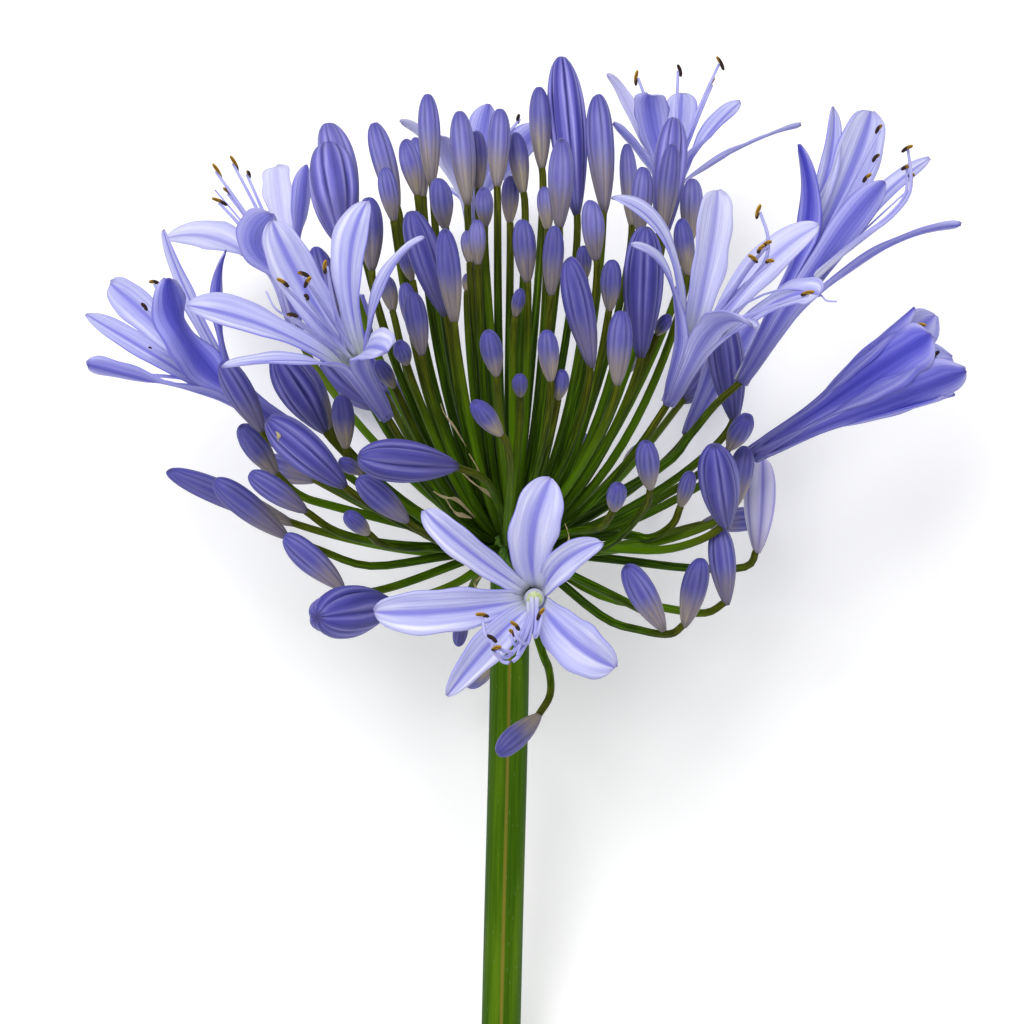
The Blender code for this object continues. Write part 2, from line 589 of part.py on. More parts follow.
# The surface presses a small flat spot into each of the three low points
cutters = new_collection("cutters")
bpy.ops.mesh.primitive_cube_add(size=1, location=(0, 0, -SURFACE_SIZE[2] / 2))
surface = bpy.context.object
surface.name = "surface"
surface.scale = SURFACE_SIZE
surface.hide_render = True
surface.display_type = "WIRE"
for collection in surface.users_collection:
    collection.objects.unlink(surface)
cutters.objects.link(surface)
flatten = umbel.modifiers.new("pressed flat", "BOOLEAN")
flatten.operation = "DIFFERENCE"
flatten.object = surface
flatten.solver = "MANIFOLD"
apply_modifiers(umbel)
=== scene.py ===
import random
from math import atan2, copysign, cos, exp, pi, radians, remainder, sin, sqrt, tau

import bpy
from mathutils import Matrix, Vector


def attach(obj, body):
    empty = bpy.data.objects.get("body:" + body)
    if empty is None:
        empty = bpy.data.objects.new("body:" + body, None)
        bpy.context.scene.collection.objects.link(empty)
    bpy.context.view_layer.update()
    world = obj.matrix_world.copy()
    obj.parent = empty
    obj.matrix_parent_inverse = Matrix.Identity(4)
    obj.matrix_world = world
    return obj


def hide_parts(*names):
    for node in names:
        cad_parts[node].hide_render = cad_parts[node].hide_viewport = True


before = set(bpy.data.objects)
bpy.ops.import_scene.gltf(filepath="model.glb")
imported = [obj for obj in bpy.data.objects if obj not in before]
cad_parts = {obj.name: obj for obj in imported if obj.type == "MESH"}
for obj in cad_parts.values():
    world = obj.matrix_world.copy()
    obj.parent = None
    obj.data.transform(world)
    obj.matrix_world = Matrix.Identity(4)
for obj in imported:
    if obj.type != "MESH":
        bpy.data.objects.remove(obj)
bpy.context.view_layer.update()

# The view. The cut flower lies on its back, and the camera looks down square to the front
# of its head, from far off, with a long lens. All lengths of the flower are millimetres of
# its own frame: x to the right and u up the stem as the camera sees them, and w towards the
# camera, from the hub where the pedicels meet.
MM = 0.001
RECLINE = radians(20)
SCAPE_LENGTH = 132
SCAPE_RADIUS = 4.0
PRESSED = 0.35
HUB_HEIGHT = SCAPE_LENGTH * sin(RECLINE) + SCAPE_RADIUS * cos(RECLINE) - PRESSED
ORIGIN_X = 3.0
ORIGIN_Y = -9.4
VIEW_X = 0.4
VIEW_U = 6.6
VIEW_DISTANCE = 900
VIEW_LENS = 158.2

lift = Matrix.Translation(Vector((-ORIGIN_X, -ORIGIN_Y, HUB_HEIGHT)) * MM)
LAID = lift @ Matrix.Rotation(RECLINE, 4, "X") @ Matrix.Scale(MM, 4)
UPWARD = Vector((0, sin(RECLINE), cos(RECLINE)))

bpy.ops.object.camera_add(location=LAID @ Vector((VIEW_X, VIEW_U, VIEW_DISTANCE)),
                          rotation=(RECLINE, 0, 0))
camera = bpy.context.object
camera.name = "camera"
camera.data.lens = VIEW_LENS
bpy.context.scene.camera = camera
bpy.context.scene.view_settings.view_transform = "Standard"


def seen(x, u, w):
    """The point at depth w that the camera sees at x and u."""
    nearness = (VIEW_DISTANCE - w) / VIEW_DISTANCE
    return Vector((VIEW_X + (x - VIEW_X) * nearness, VIEW_U + (u - VIEW_U) * nearness, w))


# The studio. A pale tabletop that glows faintly, a pale room, one broad soft light above the
# head of the flower and a weaker one beside the camera.
FLOOR_SIZE = 6
WHITE = (1, 1, 1, 1)
FLOOR_PAINT = {"Base Color": (0.93, 0.93, 0.93, 1), "Roughness": 0.9,
               "Emission Color": WHITE, "Emission Strength": 0.2}


def fill_in(node, values):
    """Writes plain values into a node's sockets."""
    for name, value in values.items():
        node.inputs[name].default_value = value


def soft_light(name, place, size, power):
    """A square light that faces the hub, at a place of the flower's frame."""
    bpy.ops.object.light_add(type="AREA", location=LAID @ Vector(place))
    light = bpy.context.object
    light.name = name
    light.data.size = size
    light.data.energy = power
    toward = LAID @ Vector((0, 0, 0)) - light.location
    light.rotation_euler = toward.to_track_quat("-Z", "Y").to_euler()


bpy.ops.mesh.primitive_plane_add(size=FLOOR_SIZE)
floor = bpy.context.object
floor.name = "tabletop"
floor_paint = bpy.data.materials.new("tabletop white")
floor_paint.use_nodes = True
fill_in(floor_paint.node_tree.nodes["Principled BSDF"], FLOOR_PAINT)
floor.data.materials.append(floor_paint)

room = bpy.data.worlds.new("pale room")
room.use_nodes = True
fill_in(room.node_tree.nodes["Background"], {"Color": WHITE, "Strength": 0.5})
bpy.context.scene.world = room
soft_light("light above the head", (-260, 540, 880), 0.6, 7.6)
soft_light("light beside the camera", (380, 20, 1000), 0.8, 1.6)

# Scape: one smooth, leafless stem with a low ridge down its front, where its green turns
# yellow-brown. It is cut straight across, and pressed flat at its edge on the table.
SCAPE_LINE = [(0, 2, 0), (-0.2, -31, 0), (-1.4, -80, 0), (-2.6, -SCAPE_LENGTH, 0)]
SCAPE_ROWS = 66
SCAPE_COLUMNS = 48
CUT_EDGE = 0.94
CUT_RADII = [SCAPE_RADIUS * CUT_EDGE, SCAPE_RADIUS * 0.5, 0]
RIDGE_HEIGHT = 0.22
RIDGE_SPREAD = radians(9)
RIDGE_PLACE = 0.25
SCAPE_FLAT = 0.02
SEAM = 0.001


def tint(code):
    """A colour written 0xRRGGBB, as a shader's socket takes it."""
    shares = [(code >> shift & 255) / 255 for shift in (16, 8, 0)]
    return (*[s / 12.92 if s <= 0.04045 else ((s + 0.055) / 1.055) ** 2.4 for s in shares], 1.0)


class Shade:
    """One socket of a material's nodes. Sums and products of it add Math nodes."""

    def __init__(self, socket):
        self.socket = socket
        self.tree = socket.id_data

    def node(self, kind, settings, inputs, output=0):
        """Adds any shader node: its settings, then the values or links of its sockets."""
        added = self.tree.nodes.new("ShaderNode" + kind)
        for name, value in settings.items():
            setattr(added, name, value)
        for name, value in inputs.items():
            if isinstance(value, Shade):
                self.tree.links.new(value.socket, added.inputs[name])
            else:
                added.inputs[name].default_value = value
        return Shade(added.outputs[output])

    def maths(self, operation, *others):
        """A Math node on this value, and on others if it takes more than one."""
        values = dict(enumerate((self, *others)))
        return self.node("Math", {"operation": operation}, values)

    def __add__(self, other):
        return self.maths("ADD", other)

    def __sub__(self, other):
        return self.maths("SUBTRACT", other)

    def __rsub__(self, other):
        return self.node("Math", {"operation": "SUBTRACT"}, {0: other, 1: self})

    def __mul__(self, other):
        return self.maths("MULTIPLY", other)

    def __abs__(self):
        return self.maths("ABSOLUTE")

    __radd__ = __add__
    __rmul__ = __mul__

    def rise(self, low, high):
        """0 below low, 1 above high and smooth between them."""
        values = {"Value": self, "From Min": low, "From Max": high}
        return self.node("MapRange", {"interpolation_type": "SMOOTHSTEP"}, values)

    def mix(self, under, over):
        """The colour under where this mask is 0, and over where it is 1."""
        under, over = (c if isinstance(c, Shade) else tint(c) for c in (under, over))
        return self.node("Mix", {"data_type": "RGBA"}, {0: self, 6: under, 7: over}, 2)

    def cover(self, *layers):
        """This colour under others, each given with its mask."""
        top = self
        for mask, colour in layers:
            top = mask.mix(top, colour)
        return top

    def ramp(self, *stops):
        """The colours of the stops, by this value."""
        colours = self.node("ValToRGB", {}, {0: self})
        elements = colours.socket.node.color_ramp.elements
        elements.remove(elements[1])
        for i, (place, colour) in enumerate(stops):
            element = elements.new(place) if i else elements[0]
            element.position = place
            element.color = tint(colour)
        return colours

    def feed(self, value):
        self.tree.links.new(value.socket, self.socket)


class Finish:
    """A material in the making, with the places that its patterns are read at."""

    def __init__(self, name, roughness, subsurface=0, shine=0.3):
        self.material = bpy.data.materials.new(name)
        self.material.use_nodes = True
        shader = self.material.node_tree.nodes["Principled BSDF"]
        fill_in(shader, {"Subsurface Weight": subsurface, "Subsurface Scale": 0.003,
                         "Subsurface Radius": (0.5, 0.5, 1), "Specular IOR Level": shine,
                         "Roughness": roughness})
        self.colour = Shade(shader.inputs["Base Color"])
        self.roughness = Shade(shader.inputs["Roughness"])
        self.normal = Shade(shader.inputs["Normal"])
        uv = self.colour.node("UVMap", {"uv_map": "UVMap"}, {})
        self.across, self.along = (
            self.colour.node("SeparateXYZ", {}, {0: uv}, axis) for axis in (0, 1))
        self.angle = self.across * tau

    def attribute(self, name):
        return self.colour.node("Attribute", {"attribute_name": name}, {}, 2)

    def noise(self, place, scale):
        """Smooth noise from 0 to 1, read at a place."""
        values = {"Vector": place, "Scale": scale, "Detail": 3}
        return self.colour.node("TexNoise", {}, values)

    def round_place(self, turns, length, shift=0):
        """A place that runs round a stalk without a seam, and along it."""
        parts = {0: self.angle.maths("COSINE") * turns, 1: self.angle.maths("SINE") * turns,
                 2: self.along * length + shift}
        return self.colour.node("CombineXYZ", {}, parts)

    def around(self, turns, length, shift=0, scale=1):
        """Noise round a stalk."""
        return self.noise(self.round_place(turns, length, shift), scale)

    def abroad(self, wide, length, shift=0):
        """Noise that runs across a blade and along it."""
        parts = {0: self.across * wide, 1: self.along * length, 2: shift}
        return self.noise(self.colour.node("CombineXYZ", {}, parts), 1)

    def done(self, colour, height, rise):
        """The material in its colour, with a bump whose full height is a rise in metres."""
        self.colour.feed(colour)
        values = {"Height": height, "Distance": rise, "Strength": 1}
        self.normal.feed(self.colour.node("Bump", {}, values))
        return self.material


def stem_green():
    finish = Finish("stem green", 0.42, 0.05, 0.05)
    fibres = finish.around(9, 6)
    patches = finish.around(1.2, 5)
    # Painted shade: the stem is darker towards its flanks, as the camera sees it, than on its front.
    side = 1 - abs(finish.angle.maths("SINE"))
    off_ridge = abs(finish.across - RIDGE_PLACE)
    ridge = (1 - off_ridge.rise(0.006, 0.02)) * (0.5 + patches * 0.5)
    specks = {"Vector": finish.round_place(6, 44), "Scale": 1}
    flecks = 1 - finish.colour.node("TexVoronoi", {}, specks).rise(0.05, 0.13)
    cut = finish.along.rise(1 - 2.6 / SCAPE_ROWS, 1 - 2.4 / SCAPE_ROWS)
    pith = finish.around(8, 90, scale=2).ramp((0.3, 0x9DB36B), (0.7, 0xC9D49C))
    finish.roughness.feed(0.36 + fibres * 0.16)
    return finish.done(fibres.ramp((0.25, 0x2C4C03), (0.5, 0x395F05), (0.75, 0x4A7009)).cover(
        (patches.rise(0.4, 0.8), 0x5A7A12), (side.rise(0.15, 0.9) * 0.6, 0x284A0C),
        (ridge, 0x86782E), (flecks * 0.3, 0xA9B98A), (cut, pith)), fibres, 0.0001)


def smooth_line(points, rows):
    """Points evenly along the smooth curve that runs through all the points given."""
    points = [Vector(p) for p in points]
    ends = [points[0] * 2 - points[1], *points, points[-1] * 2 - points[-2]]
    line = []
    for row in range(rows + 1):
        place = row / rows * (len(points) - 1)
        i = min(int(place), len(points) - 2)
        t = place - i
        a, b, c, d = ends[i:i + 4]
        line.append((b * 2 + (c - a) * t + (a * 2 - b * 5 + c * 4 - d) * t ** 2
                     + (b * 3 - a - c * 3 + d) * t ** 3) / 2)
    return line


def pick(*pieces):
    """Selects these pieces alone, with the first one active."""
    bpy.ops.object.select_all(action="DESELECT")
    for piece in pieces:
        piece.select_set(True)
    if pieces:
        bpy.context.view_layer.objects.active = pieces[0]


def sheet(name, columns, rows, place):
    """A grid primitive whose point (u, v) goes where place says, in the flower's frame."""
    pick()
    bpy.ops.mesh.primitive_grid_add(x_subdivisions=columns, y_subdivisions=rows, size=1)
    piece = bpy.context.object
    piece.name = name
    for vert in piece.data.vertices:
        vert.co = place(vert.co.x + 0.5, vert.co.y + 0.5)
    return piece


def directions(line):
    """The way the line runs at each of its points."""
    last = len(line) - 1
    steps = [line[min(i + 1, last)] - line[max(i - 1, 0)] for i in range(last + 1)]
    way = next(step for step in steps if step.length > SEAM)
    ways = []
    for step in steps:
        way = step if step.length > SEAM else way
        ways.append(way.normalized())
    return ways


def stalk(name, line, radii, columns, front=None, section=None):
    """A grid rolled round a line of points. A radius of 0 closes an end."""
    ways = directions(line)
    front = front or ways[0].cross(ways[-1])
    if front.length < 0.05:
        front = ways[0].orthogonal()

    def place(u, v):
        i = round(v * (len(line) - 1))
        side = front.cross(ways[i]).normalized()
        face = ways[i].cross(side)
        angle = u * tau
        swell = section(angle, i) if section else 1
        return line[i] + (side * cos(angle) + face * sin(angle)) * radii[i] * swell

    return sheet(name, columns, len(line) - 1, place)


def join(name, pieces):
    """Makes one object of many, each with its own mesh."""
    pick(*pieces)
    bpy.ops.object.join()
    pieces[0].name = name
    return pieces[0]


def close_up(piece):
    """Merges seams and poles, turns the faces outwards and smooths them."""
    pick(piece)
    bpy.ops.object.mode_set(mode="EDIT")
    bpy.ops.mesh.select_all(action="SELECT")
    bpy.ops.mesh.remove_doubles(threshold=SEAM)
    bpy.ops.mesh.normals_make_consistent(inside=False)
    bpy.ops.object.mode_set(mode="OBJECT")
    bpy.ops.object.shade_smooth()
    return piece


def lay(piece, node, finish=None):
    """Lays a piece where the flower lies, in the place of a CAD node, in its last finish.

    The table's surface presses flat what would reach below it.
    """
    if finish:
        piece.data.materials.append(finish)
    piece.data.transform(LAID)
    for vert in piece.data.vertices:
        vert.co.z = max(vert.co.z, 0.0)
    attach(piece, "root")
    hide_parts(node)


def ridged(angle, row):
    """The scape's outline: a little wider than deep, with the low ridge on its front."""
    off = remainder(angle - RIDGE_PLACE * tau, tau)
    bump = RIDGE_HEIGHT / SCAPE_RADIUS * exp(-(off / RIDGE_SPREAD) ** 2)
    return 1 + bump - SCAPE_FLAT * (1 + sin(angle))


scape_line = smooth_line(SCAPE_LINE, SCAPE_ROWS - len(CUT_RADII))
scape_radii = [SCAPE_RADIUS] * len(scape_line) + CUT_RADII
scape_line += [scape_line[-1]] * len(CUT_RADII)
scape = stalk("scape", scape_line, scape_radii, SCAPE_COLUMNS, Vector((0, 0, 1)), ridged)
lay(close_up(scape), "umbel", stem_green())

# Receptacle: the small green swelling on top of the scape that all the pedicels grow from,
# close together. Little of it shows between their bases.
HUB_RADIUS = 6.5
HUB_REACH = radians(112)
HUB_BODY = 0.92
SCAR_DEPTH = 0.04


def mottled(name, roughness, subsurface, place, scale, rise, stops, start=None):
    """A material of soft patches round a piece.

    A start is another colour, and the range along the piece in which the patches take over.
    """
    finish = Finish(name, roughness, subsurface)
    patches = finish.around(*place, scale=scale)
    colour = patches.ramp(*stops)
    if start:
        colour = finish.along.rise(*start[1:]).mix(start[0], colour)
    return finish.done(colour, patches, rise)


pick()
bpy.ops.mesh.primitive_uv_sphere_add(segments=40, ring_count=24, radius=HUB_RADIUS * HUB_BODY)
receptacle = bpy.context.object
receptacle.name = "receptacle"
for vert in receptacle.data.vertices:
    scars = sin(vert.co.x * 2.1) * sin(vert.co.y * 2.3 + 1) * sin(vert.co.z * 1.9)
    vert.co *= 1 + SCAR_DEPTH * scars
bpy.ops.object.shade_smooth()
lay(receptacle, "umbel", mottled(
    "receptacle green", 0.55, 0, (4, 9), 1.5, 0.0004,
    ((0.3, 0x2A4A10), (0.55, 0x4C7A1C), (0.75, 0x8A8F3C))))

# Withered bracts: a few dry, beige scraps and threads, left among the pedicel bases from
# the sheath that once wrapped the whole head.
BRACTS = [
    ([(-8, 18, 20), (-6.6, 15.8, 19), (-5.6, 13.6, 16), (-3.4, 11.6, 12)], 0.5),
    ([(-9.2, 14.2, 24), (-7.2, 12.4, 21), (-4.4, 10.4, 16), (-1.6, 7.6, 10)], 0.7),
    ([(-14.8, 10.6, 27), (-13, 9.6, 25), (-10.4, 9, 21), (-7, 5.6, 12)], 0.7),
    ([(-12.6, 9.4, 24), (-10.6, 6.6, 20), (-7.6, 5.4, 14)], 0.9),
    ([(-13.4, 27.6, 28), (-12.6, 25.6, 27), (-11, 23.4, 25), (-8.6, 19.4, 20)], 0.4),
    ([(10.8, 4.4, 16), (11.6, 2, 17), (11, -0.6, 16), (8, -2.6, 10)], 0.5),
    ([(13, -4.4, 15), (12, -6.4, 14), (9, -6, 9)], 0.4),
    ([(-7.4, -11.4, 12), (-6.4, -9, 13), (-6.8, -7, 11), (-3, -4.2, 6)], 0.5),
    ([(-45.6, 21.6, 37), (-44.8, 21.8, 38), (-44.2, 21, 38.4), (-44.6, 20.2, 37.4)], 0.7),
]
BRACT_THICKNESS = 0.12
BRACT_ROWS = 14
BRACT_CURL = 5


def bract_beige():
    finish = Finish("withered bract", 0.8)
    grain = finish.abroad(8, 14)
    colour = grain.ramp((0.3, 0x8E7A4E), (0.5, 0xC2B184), (0.7, 0xE0D6B4))
    return finish.done(colour, grain, 0.0001)


def ribbon(name, points, width):
    """A thin curled strip, widest past its middle."""
    line = smooth_line(points, BRACT_ROWS)
    ways = directions(line)

    def place(u, v):
        i = round(v * BRACT_ROWS)
        curl = Vector((sin(v * BRACT_CURL), 0.3, cos(v * BRACT_CURL)))
        side = ways[i].cross(curl).normalized()
        half = width * (0.25 + sin(pi * v * 0.9) ** 2) * 0.5
        return line[i] + side * half * (u - 0.5) * 2

    return sheet(name, 2, BRACT_ROWS, place)


def wall(piece, thickness):
    """Gives a sheet its thickness behind its upper face. Its second finish is for its back."""
    pick(piece)
    solid = piece.modifiers.new("thickness", "SOLIDIFY")
    solid.thickness = thickness
    solid.offset = -1
    solid.material_offset = 1
    solid.material_offset_rim = 1
    bpy.ops.object.modifier_apply(modifier=solid.name)
    bpy.ops.object.shade_smooth()


bracts = join("withered_bracts", [ribbon("bract", *row) for row in BRACTS])
bracts.data.materials.append(bract_beige())
wall(bracts, BRACT_THICKNESS)
lay(bracts, "umbel")

# Buds: closed florets, each a tube that swells to a blunt tip, with six furrows where its
# folded tepals meet. Small ones are still beige and greenish at the foot, and those close to
# opening are blown up like balloons, with deep pleats. Each row: tip x, tip u, base x,
# base u, width, and the depth w of the base.
BUDS = [
    (-27.4, 84.8, -22.4, 67, 5, -6), (-25.2, 75.4, -23.2, 64.4, 4, 4), (-21.2, 80.8, -18.4, 69.4, 4.2, 1),
    (-16.6, 90.6, -15.6, 71.4, 4.6, -8), (-18.8, 81.8, -17.2, 69, 4, -15), (-14, 72.8, -12.8, 63.2, 4.6, 9),
    (-10.2, 87.2, -8.4, 67.6, 5, -10), (-7, 83, -6.4, 70.6, 4.4, -17), (-5.4, 70.8, -5, 63.4, 3.6, 4),
    (-2, 87.6, -2.6, 71, 4.6, -3), (1.2, 82.8, 2.8, 69.8, 4, -10), (0.2, 73.8, 0, 64, 3.6, -14),
    (5.8, 92, 6.4, 74.6, 4.4, -14), (17.4, 90.6, 18.8, 66.2, 5.6, -8), (10.2, 80.8, 9.8, 62.8, 5, 6),
    (6.8, 71.8, 7.6, 62.6, 3.4, -4), (2.6, 65, 3.6, 52.2, 4.6, 17), (9, 63.6, 8.2, 49.6, 4.2, 21),
    (-6.6, 65, -6.4, 55.6, 3.4, 9), (-8.8, 63, -8, 56, 3, -4), (-13, 62.8, -11, 43.8, 4.8, 29),
    (-19.6, 66.6, -12.8, 45.8, 6.6, 19), (-21.6, 59, -19.4, 52.6, 2.8, 6),
    (-19.6, 50.4, -17.6, 37.8, 4.6, 27), (-21, 52.4, -19.2, 42, 3.6, 17),
    (-8.6, 54.4, -8.6, 50.4, 2.2, -10), (2.2, 50.8, 1, 45.4, 2.6, 20), (-4.4, 42.6, -2.6, 33.6, 4.2, 40),
    (7.4, 43, 8.2, 32.4, 4, 42), (1.8, 33.8, 2, 29.8, 3, 36), (10.4, 34.6, 9.6, 29, 3.2, 36),
    (-22, 40, -20.6, 36, 3.4, 26), (-7, 28.4, -1.4, 21.8, 4, 46), (-33.6, 30, -32.8, 19, 4.4, 16),
    (-26.4, 36.6, -23, 31.4, 3.2, 12), (-57.6, 36.6, -49.6, 22.6, 5.6, 18), (-48.4, 25, -33, 11.6, 7.6, 32),
    (-53.4, 23.6, -46.6, 14, 5.2, 6), (-67.8, 15, -43, 4.2, 5.2, 2), (-59, 13, -44.4, 1.4, 5.6, 14),
    (-52, 14.4, -40.6, 6.6, 5, 22), (-45.2, 1.6, -33.4, -9, 5.6, 20), (-32.4, 6.2, -28.2, 2.2, 3.6, 32),
    (-37, 81.4, -33.4, 60, 10, -6), (-36.6, 84.8, -31, 66, 7, -18), (-30, 17.6, -10.6, 15.8, 8, 42),
    (-30.4, 13.4, -20.4, 4.6, 5.2, 36), (-33.8, 16.6, -29.6, 14.2, 3, 24),
    (-37.6, -14, -23.6, -12, 9.6, 32), (27, 63.4, 26.2, 37.4, 7.6, 16), (40.4, 19.8, 43.4, 3.4, 7.6, 22),
    (10.4, 98.2, 13.4, 66, 7.4, -14), (50.4, 17.4, 49.4, -1.6, 6.4, -4), (42.2, 46, 44.8, 24.6, 7.2, -10),
    (-46.4, 37.6, -37, 22.6, 7.6, 10), (-42, 36.6, -35.6, 23, 5.2, 2), (16.4, 68.8, 17.4, 56.6, 4.6, 12),
    (14.6, 59.4, 15, 53, 3.2, 2), (20.2, 56.8, 19.8, 46.6, 4.2, 20), (11.4, 57, 16.2, 35.4, 6, 36),
    (22.2, 46.8, 21.4, 31.6, 5, 36), (26.8, 75.4, 26, 62, 4.6, 0), (33.2, 85.8, 30.6, 61, 6.8, -10),
    (32.4, 80, 30.6, 62.4, 4.4, 2), (36.4, 73.4, 36, 60.6, 4.6, -6), (34, 65, 35.6, 53.4, 4, 6),
    (23.4, 80.6, 24.4, 63, 3.6, -16), (31.6, 45.4, 29.4, 42, 2.8, 8), (-38.8, 59.6, -34.6, 43, 5.6, -8),
    (-28.2, 69.4, -27.6, 54.6, 5.2, 8), (-25, 53.8, -23.4, 46.4, 3.4, -4), (47, 25.4, 43.6, 19, 4.4, 14),
    (47, 19.8, 45, 7.6, 4.8, 8), (27, 20.6, 28.2, 11, 4.6, 32), (21.6, 12.2, 20.8, 7, 3.8, 32),
    (41.6, 3.8, 43.4, -12, 5.4, 16), (38, -2.6, 34.8, -16.4, 5.2, 26), (23.2, -4.2, 30.8, -17.2, 5.6, 36),
    (36, 14.6, 34, 7.4, 3.4, 10), (-2.6, -41.4, 6, -33.8, 4.8, 20), (-10.4, -20.2, -9, -12, 3.2, -18),
    (-8.6, -28.2, -3.2, -23.4, 4.4, -16),
]

# The two big buds at the back that the head lies on, as above
REST_BUDS = [(-37, 37, -27, 26, 9, -52), (45, 40, 34.5, 28, 9, -52)]
BUD_WIDEST = 0.6
BUD_FOOT = 0.2
BUD_RISE = 0.85
BUD_BLUNT = 2.3
BUD_TIP_ROWS = 1.5
BUD_SLENDERNESS = 2.6
BUD_COLUMNS = 30
BUD_ROWS = 18
BUD_SEED = 11
UNRIPE_WIDTH = 3.6
BALLOON_WIDTH = 6.4
BACK_BUDS = 7
BACK_SEED = 7
BACK_LEAN = radians(18)
BACK_SPREAD = radians(46)
BACK_TILT = 0.35
BACK_SQUASH = 0.6
BACK_BASE = 52
BACK_WIDTH = 4.8
BACK_RISE = 4
BUD_ROLL = 1.1

# The pale bud at the lower right, about to open, is the one with this foot
OPENING_BUD = [row[2:4] for row in BUDS].index((49.4, -1.6))


def bud_swell(s):
    """Half-width of a bud at s of its length, as a share of its widest."""
    if s < BUD_WIDEST:
        return BUD_FOOT + (1 - BUD_FOOT) * sin(pi / 2 * s / BUD_WIDEST) ** BUD_RISE
    return sqrt(1 - ((s - BUD_WIDEST) / (1.005 - BUD_WIDEST)) ** BUD_BLUNT)


def bud_axis(tip, base, width, w):
    """Base, direction and length of a bud from its two ends as the camera sees them.

    One that looks short for its width points at the camera, or away from it at the back.
    """
    foot = seen(*base, w)
    flat = seen(*tip, w) - foot
    length = max(flat.length * 1.02, BUD_SLENDERNESS * width)
    depth = sqrt(length ** 2 - flat.length ** 2)
    axis = Vector((flat.x, flat.y, depth if w >= 0 else -depth))
    return foot, axis.normalized(), length


def lowest(foot, axis, length, width):
    """Height of a bud's lowest point above the table."""
    lean = sqrt(1 - axis.dot(UPWARD) ** 2)
    steps = [i / 20 for i in range(21)]
    return min(HUB_HEIGHT + (foot + axis * length * s).dot(UPWARD)
               - bud_swell(s) * width / 2 * lean for s in steps)


def back_buds():
    """Buds of the hidden back, by the golden angle round the axis that points backwards."""
    draw = random.Random(BACK_SEED)
    golden = pi * (3 - sqrt(5))
    for i in range(BACK_BUDS):
        around = i * golden
        out = BACK_LEAN + BACK_SPREAD * sqrt((i + 0.5) / BACK_BUDS)
        up = BACK_TILT + BACK_SQUASH * sin(out) * sin(around)
        toward = Vector((sin(out) * cos(around), up, -cos(out)))
        reach = BACK_BASE * draw.uniform(0.9, 1.08)
        width = BACK_WIDTH * draw.uniform(0.8, 1.2)
        length = width * draw.uniform(2.8, 3.4)
        toward.normalize()
        while lowest(toward * reach, toward, length, width) < BACK_RISE:
            toward = (toward + UPWARD * 0.03).normalized()
        yield toward * reach, toward, length, width


def bud_violet():
    """Six tepals edge to edge over a greyer foot, by how ripe a bud is and its shade.

    The shade is darkest at 0 and lightest at 1, partly painted shade and light. At 2 it is the one that is
    about to open.
    """
    finish = Finish("bud violet", 0.5, 0.08)
    ripe = finish.attribute("ripe")
    shade = finish.attribute("shade")
    along = finish.along
    turn = finish.across * 6 + 0.5
    off_furrow = abs(turn.maths("FRACT") - 0.5) * 2
    streaks = finish.around(4, 1.6, shade * 40, 1.4)
    cloud = finish.around(0.9, 1.2, shade * 90)
    blend = off_furrow + (streaks - 0.5) * 0.6
    # The ripe colour is darkest in the furrows and palest in bands beside them: partly the tepals' own
    # paler margins, partly painted shade in the creases and painted highlight on the folds.
    full = blend.ramp(
        (0, 0x28276E), (0.12, 0x5654B0), (0.34, 0xA09CE2), (0.6, 0x6663C0), (0.95, 0x434198))
    young = (blend + (cloud - 0.5) * 0.6).ramp(
        (0, 0x5A5899), (0.16, 0x7371B4), (0.5, 0x7F7DC6), (0.75, 0x6765B2), (1, 0x5B59A8))
    # Buds with a low shade are darkened, partly a darker tone of their own and partly painted shade, as the
    # buds inside the head get only low values.
    dark_tone_and_painted_shade = (1 - shade.rise(0, 0.45)) * 0.62
    dark_and_shaded_violet = cloud.ramp((0.35, 0x2C2A66), (0.65, 0x474592))
    foot = (streaks * 0.5 + cloud * 0.5).ramp((0.35, 0x746C72), (0.5, 0x8F8576), (0.65, 0xAC9E78))
    fade = 1 - along.rise(0.1 + streaks * 0.18, 0.6 - ripe * 0.2)
    light = (off_furrow + (streaks - 0.5) * 0.4).ramp((0, 0x8783CC), (0.3, 0xB7B2E8), (0.8, 0xD0CCEE))
    slit = (1 - abs(finish.across - 0.42).rise(0.01, 0.04)) * along.rise(0.6, 0.7)
    opening = light.cover((1 - along.rise(0, 0.3), 0x9A90AE), (slit * 0.8, 0xB89A3C))
    folds = off_furrow.rise(0, 0.4) * (0.35 + ripe * 0.65) + streaks * 0.3
    # A high shade, which only buds of the crown get, lightens a bud: partly a lighter tone, partly painted
    # light on the top of the head.
    return finish.done(young.cover(
        (ripe.rise(0.3, 0.9), full), (shade.rise(0.4, 1) * 0.45, 0x918DCE), (dark_tone_and_painted_shade, dark_and_shaded_violet),
        (fade * (0.95 - ripe * 0.35), ripe.rise(0.3, 1).mix(foot, 0x4D4988)),
        ((1 - along.rise(0, 0.14)) * 0.75, 0x45412E),
        (along.rise(0.62, 0.95) * (0.75 - ripe * 0.3), 0x44429A),
        (along.rise(0.93, 1) * 0.75, 0x332F60), (shade.rise(1.4, 1.8), opening)), folds, 0.00016)


def bud_shape(name, pleats, bend):
    """A bud one long and one wide, to be copied: its furrows, its bend and its pointed end."""
    steps = [1 - (1 - i / BUD_ROWS) ** BUD_TIP_ROWS for i in range(BUD_ROWS + 1)]
    line = [Vector((bend * sin(pi * s), 0, s)) for s in [0, *steps]]
    radii = [0, *(bud_swell(s) / 2 for s in steps[:-1]), 0]

    def furrows(angle, row):
        depth = pleats * sin(pi * min(1, row / (BUD_ROWS + 1))) ** 0.6
        return 1 + depth * 0.25 - depth * abs(cos(3 * angle)) ** 5

    return close_up(stalk(name, line, radii, BUD_COLUMNS, Vector((1, 0, 0)), furrows))


